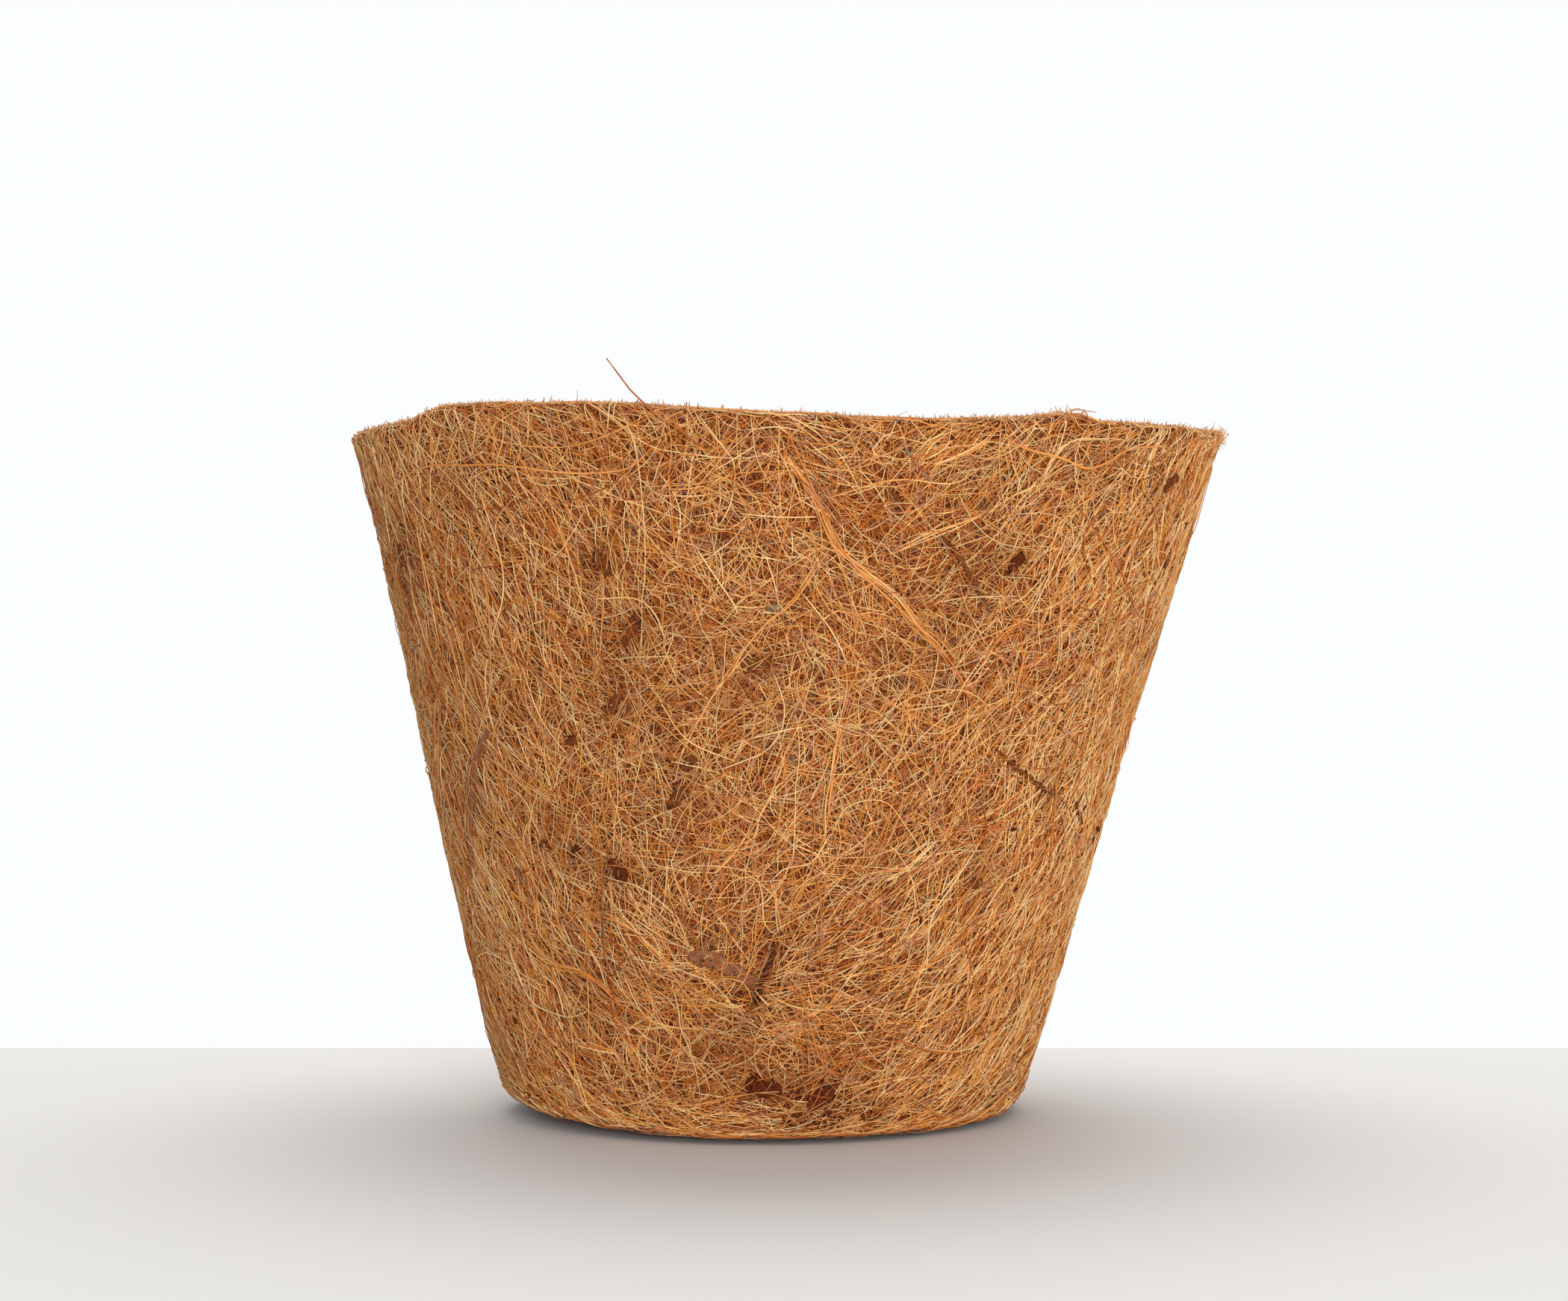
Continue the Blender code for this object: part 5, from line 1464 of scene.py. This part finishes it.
def crumbs(dice):
    """Many small uneven lumps in one mesh."""
    turn = [dice.uniform(0.0, math.tau, LOOSE_CRUMBS)]
    run = [np.interp(dice.uniform(0.0, 1.0, LOOSE_CRUMBS) ** TOWARDS_FOOT, area_share, area_runs)]
    for degrees, share, reach, count in PITH_CLUSTERS:
        aside = dice.normal(0.0, reach / 2.0, count)
        turn.append(math.radians(degrees) + aside / cone_radius(share * WALL_HEIGHT))
        run.append(run_at(share) + dice.normal(0.0, reach / 2.0, count))
    turn = np.concatenate(turn)
    run = np.clip(np.concatenate(run), 0.0010, RIM_RUN - 0.0010)
    count = len(turn)
    size = uneven(dice, CRUMB_SIZE, CRUMB_SPREAD, (count, 1), SMALLEST_CRUMB, LARGEST_CRUMB)
    ball = [(0.0, 0.0, 1.0)]
    for height, radius in CRUMB_RINGS:
        spin = math.tau * np.arange(CRUMB_SIDES) / CRUMB_SIDES + height
        ball += [(math.cos(angle) * radius, math.sin(angle) * radius, height) for angle in spin]
    ball = np.array(ball + [(0.0, 0.0, CRUMB_FOOT)])
    shape = ball[None, :, :] * dice.uniform(*CRUMB_LUMPS, (count, len(ball), 1))
    spin = dice.uniform(0.0, math.tau, (count, 1))
    long_way = dice.uniform(1.0, 2.0, (count, 1))
    x, y, z = np.moveaxis(shape, 2, 0)
    aside = (x * np.cos(spin) * long_way - y * np.sin(spin)) * size
    up = (x * np.sin(spin) * long_way + y * np.cos(spin)) * size
    out = z * size * CRUMB_FLATNESS + dice.uniform(0.0, 0.00015, (count, 1))
    turns = turn[:, None] + aside / np.interp(run, RUN, RUN_RADIUS)[:, None]
    points = felt_point(turns, run[:, None] + up, out)
    points[..., 2] = np.maximum(points[..., 2], 0.0)
    faces = []
    last = len(ball) - 1
    for upper in range(1, CRUMB_SIDES + 1):
        after = upper % CRUMB_SIDES + 1
        lower = upper + CRUMB_SIDES
        lower_after = after + CRUMB_SIDES
        faces += [(0, upper, after), (upper, lower, lower_after), (upper, lower_after, after),
                  (last, lower_after, lower)]
    corners = np.array(faces)[None, :, :] + len(ball) * np.arange(count)[:, None, None]
    return link_mesh("pith_dust", points, corners, range(0, corners.size, 3), flake_finish)


pith = crumbs(np.random.default_rng(310))
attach(pith, "root")

# The table. The real one is plain, pale and matt, and ends behind the pot, with white beyond. It lies a
# little under the foot here, so that no fibre of the underside cuts into it.
TABLE_TOP = -0.0004
TABLE_FAR_EDGE = 0.118
TABLE_NEAR_EDGE = -1.6
TABLE_WIDTH = 4.0
# Pale paint, rolled on: matt, with hardly visible clouds, three to the metre.
CLOUDS_PER_METRE = 3.0
table_finish, tree, shader = new_material("pale matt table", 0.75, 1.5)
where = add_node(tree, "ShaderNodeTexCoord").outputs["Object"]
clouds = add_node(tree, "ShaderNodeTexNoise", {"Vector": where, "Scale": CLOUDS_PER_METRE, "Detail": 2.0})
table_ramp = add_node(tree, "ShaderNodeValToRGB", {"Fac": clouds.outputs["Fac"]}, stops=(
    (0.3, "#e0e2e3"), (0.7, "#e4e6e7")))
tree.links.new(table_ramp.outputs["Color"], shader.inputs["Base Color"])
table_middle = (TABLE_FAR_EDGE + TABLE_NEAR_EDGE) / 2.0
bpy.ops.mesh.primitive_plane_add(size=1.0, location=(0.0, table_middle, TABLE_TOP))
table = bpy.context.object
table.name = "table"
table.scale = (TABLE_WIDTH, TABLE_FAR_EDGE - TABLE_NEAR_EDGE, 1.0)
table.data.materials.append(table_finish)


# Light: an even pale sky, as in a white studio, a soft lamp above and behind, whose shadow falls in front of
# the pot, and a low one in front, a little to the right.
def soft_light(name, place, target, size, power, colour):
    """A round soft lamp at a place, turned towards its target."""
    lamp = bpy.data.lights.new(name, "AREA")
    lamp.shape = "DISK"
    lamp.size = size
    lamp.energy = power
    lamp.color = linear(colour)[:3]
    light = bpy.data.objects.new(name, lamp)
    light.location = place
    light.rotation_euler = (Vector(target) - Vector(place)).to_track_quat("-Z", "Y").to_euler()
    bpy.context.scene.collection.objects.link(light)


soft_light("top", (0.0, 0.56, 1.45), (0.0, 0.0, 0.0), 1.4, 15.0, "#fffaf4")
soft_light("front", (0.30, -1.56, 0.20), (0.0, 0.0, 0.08), 0.40, 15.6, "#fff6ea")
SKY_STRENGTH = 0.57
world = bpy.data.worlds.new("studio")
bpy.context.scene.world = world
world.use_nodes = True
tree = world.node_tree
tree.nodes.clear()
path = add_node(tree, "ShaderNodeLightPath")
seen = path.outputs["Is Camera Ray"]
for ray in ("Is Glossy Ray", "Is Transmission Ray"):
    either = add_node(tree, "ShaderNodeMath", {0: seen, 1: path.outputs[ray]}, operation="MAXIMUM")
    seen = either.outputs["Value"]
white = add_node(tree, "ShaderNodeBackground", {"Color": linear("#fbfdff"), "Strength": 1.0})
sky = add_node(tree, "ShaderNodeBackground", {
    "Color": linear("#f4f3f3"), "Strength": SKY_STRENGTH})
both = add_node(tree, "ShaderNodeMixShader", {
    0: seen, 1: sky.outputs["Background"], 2: white.outputs["Background"]})
add_node(tree, "ShaderNodeOutputWorld", {"Surface": both.outputs["Shader"]})

# The camera: level, at the height of the pot's upper part, with the lens of the photograph. The picture is
# 2100 by 1743 pixels.
PICTURE_WIDTH = 2100
PICTURE_HEIGHT = 1743
FOCAL_PIXELS = 4715.0
HORIZON_ROW = 839.0
CAMERA_PLACE = (-0.0007, -0.820, 0.112)
camera = bpy.data.cameras.new("camera")
camera.sensor_width = 36.0
camera.lens = FOCAL_PIXELS / PICTURE_WIDTH * camera.sensor_width
camera.shift_y = (HORIZON_ROW - PICTURE_HEIGHT / 2.0) / PICTURE_WIDTH
camera.clip_start = 0.01
camera_place = bpy.data.objects.new("camera", camera)
camera_place.location = CAMERA_PLACE
camera_place.rotation_euler = (math.pi / 2.0, 0.0, 0.0)
bpy.context.scene.collection.objects.link(camera_place)
bpy.context.scene.camera = camera_place
bpy.context.scene.view_settings.view_transform = "Standard"
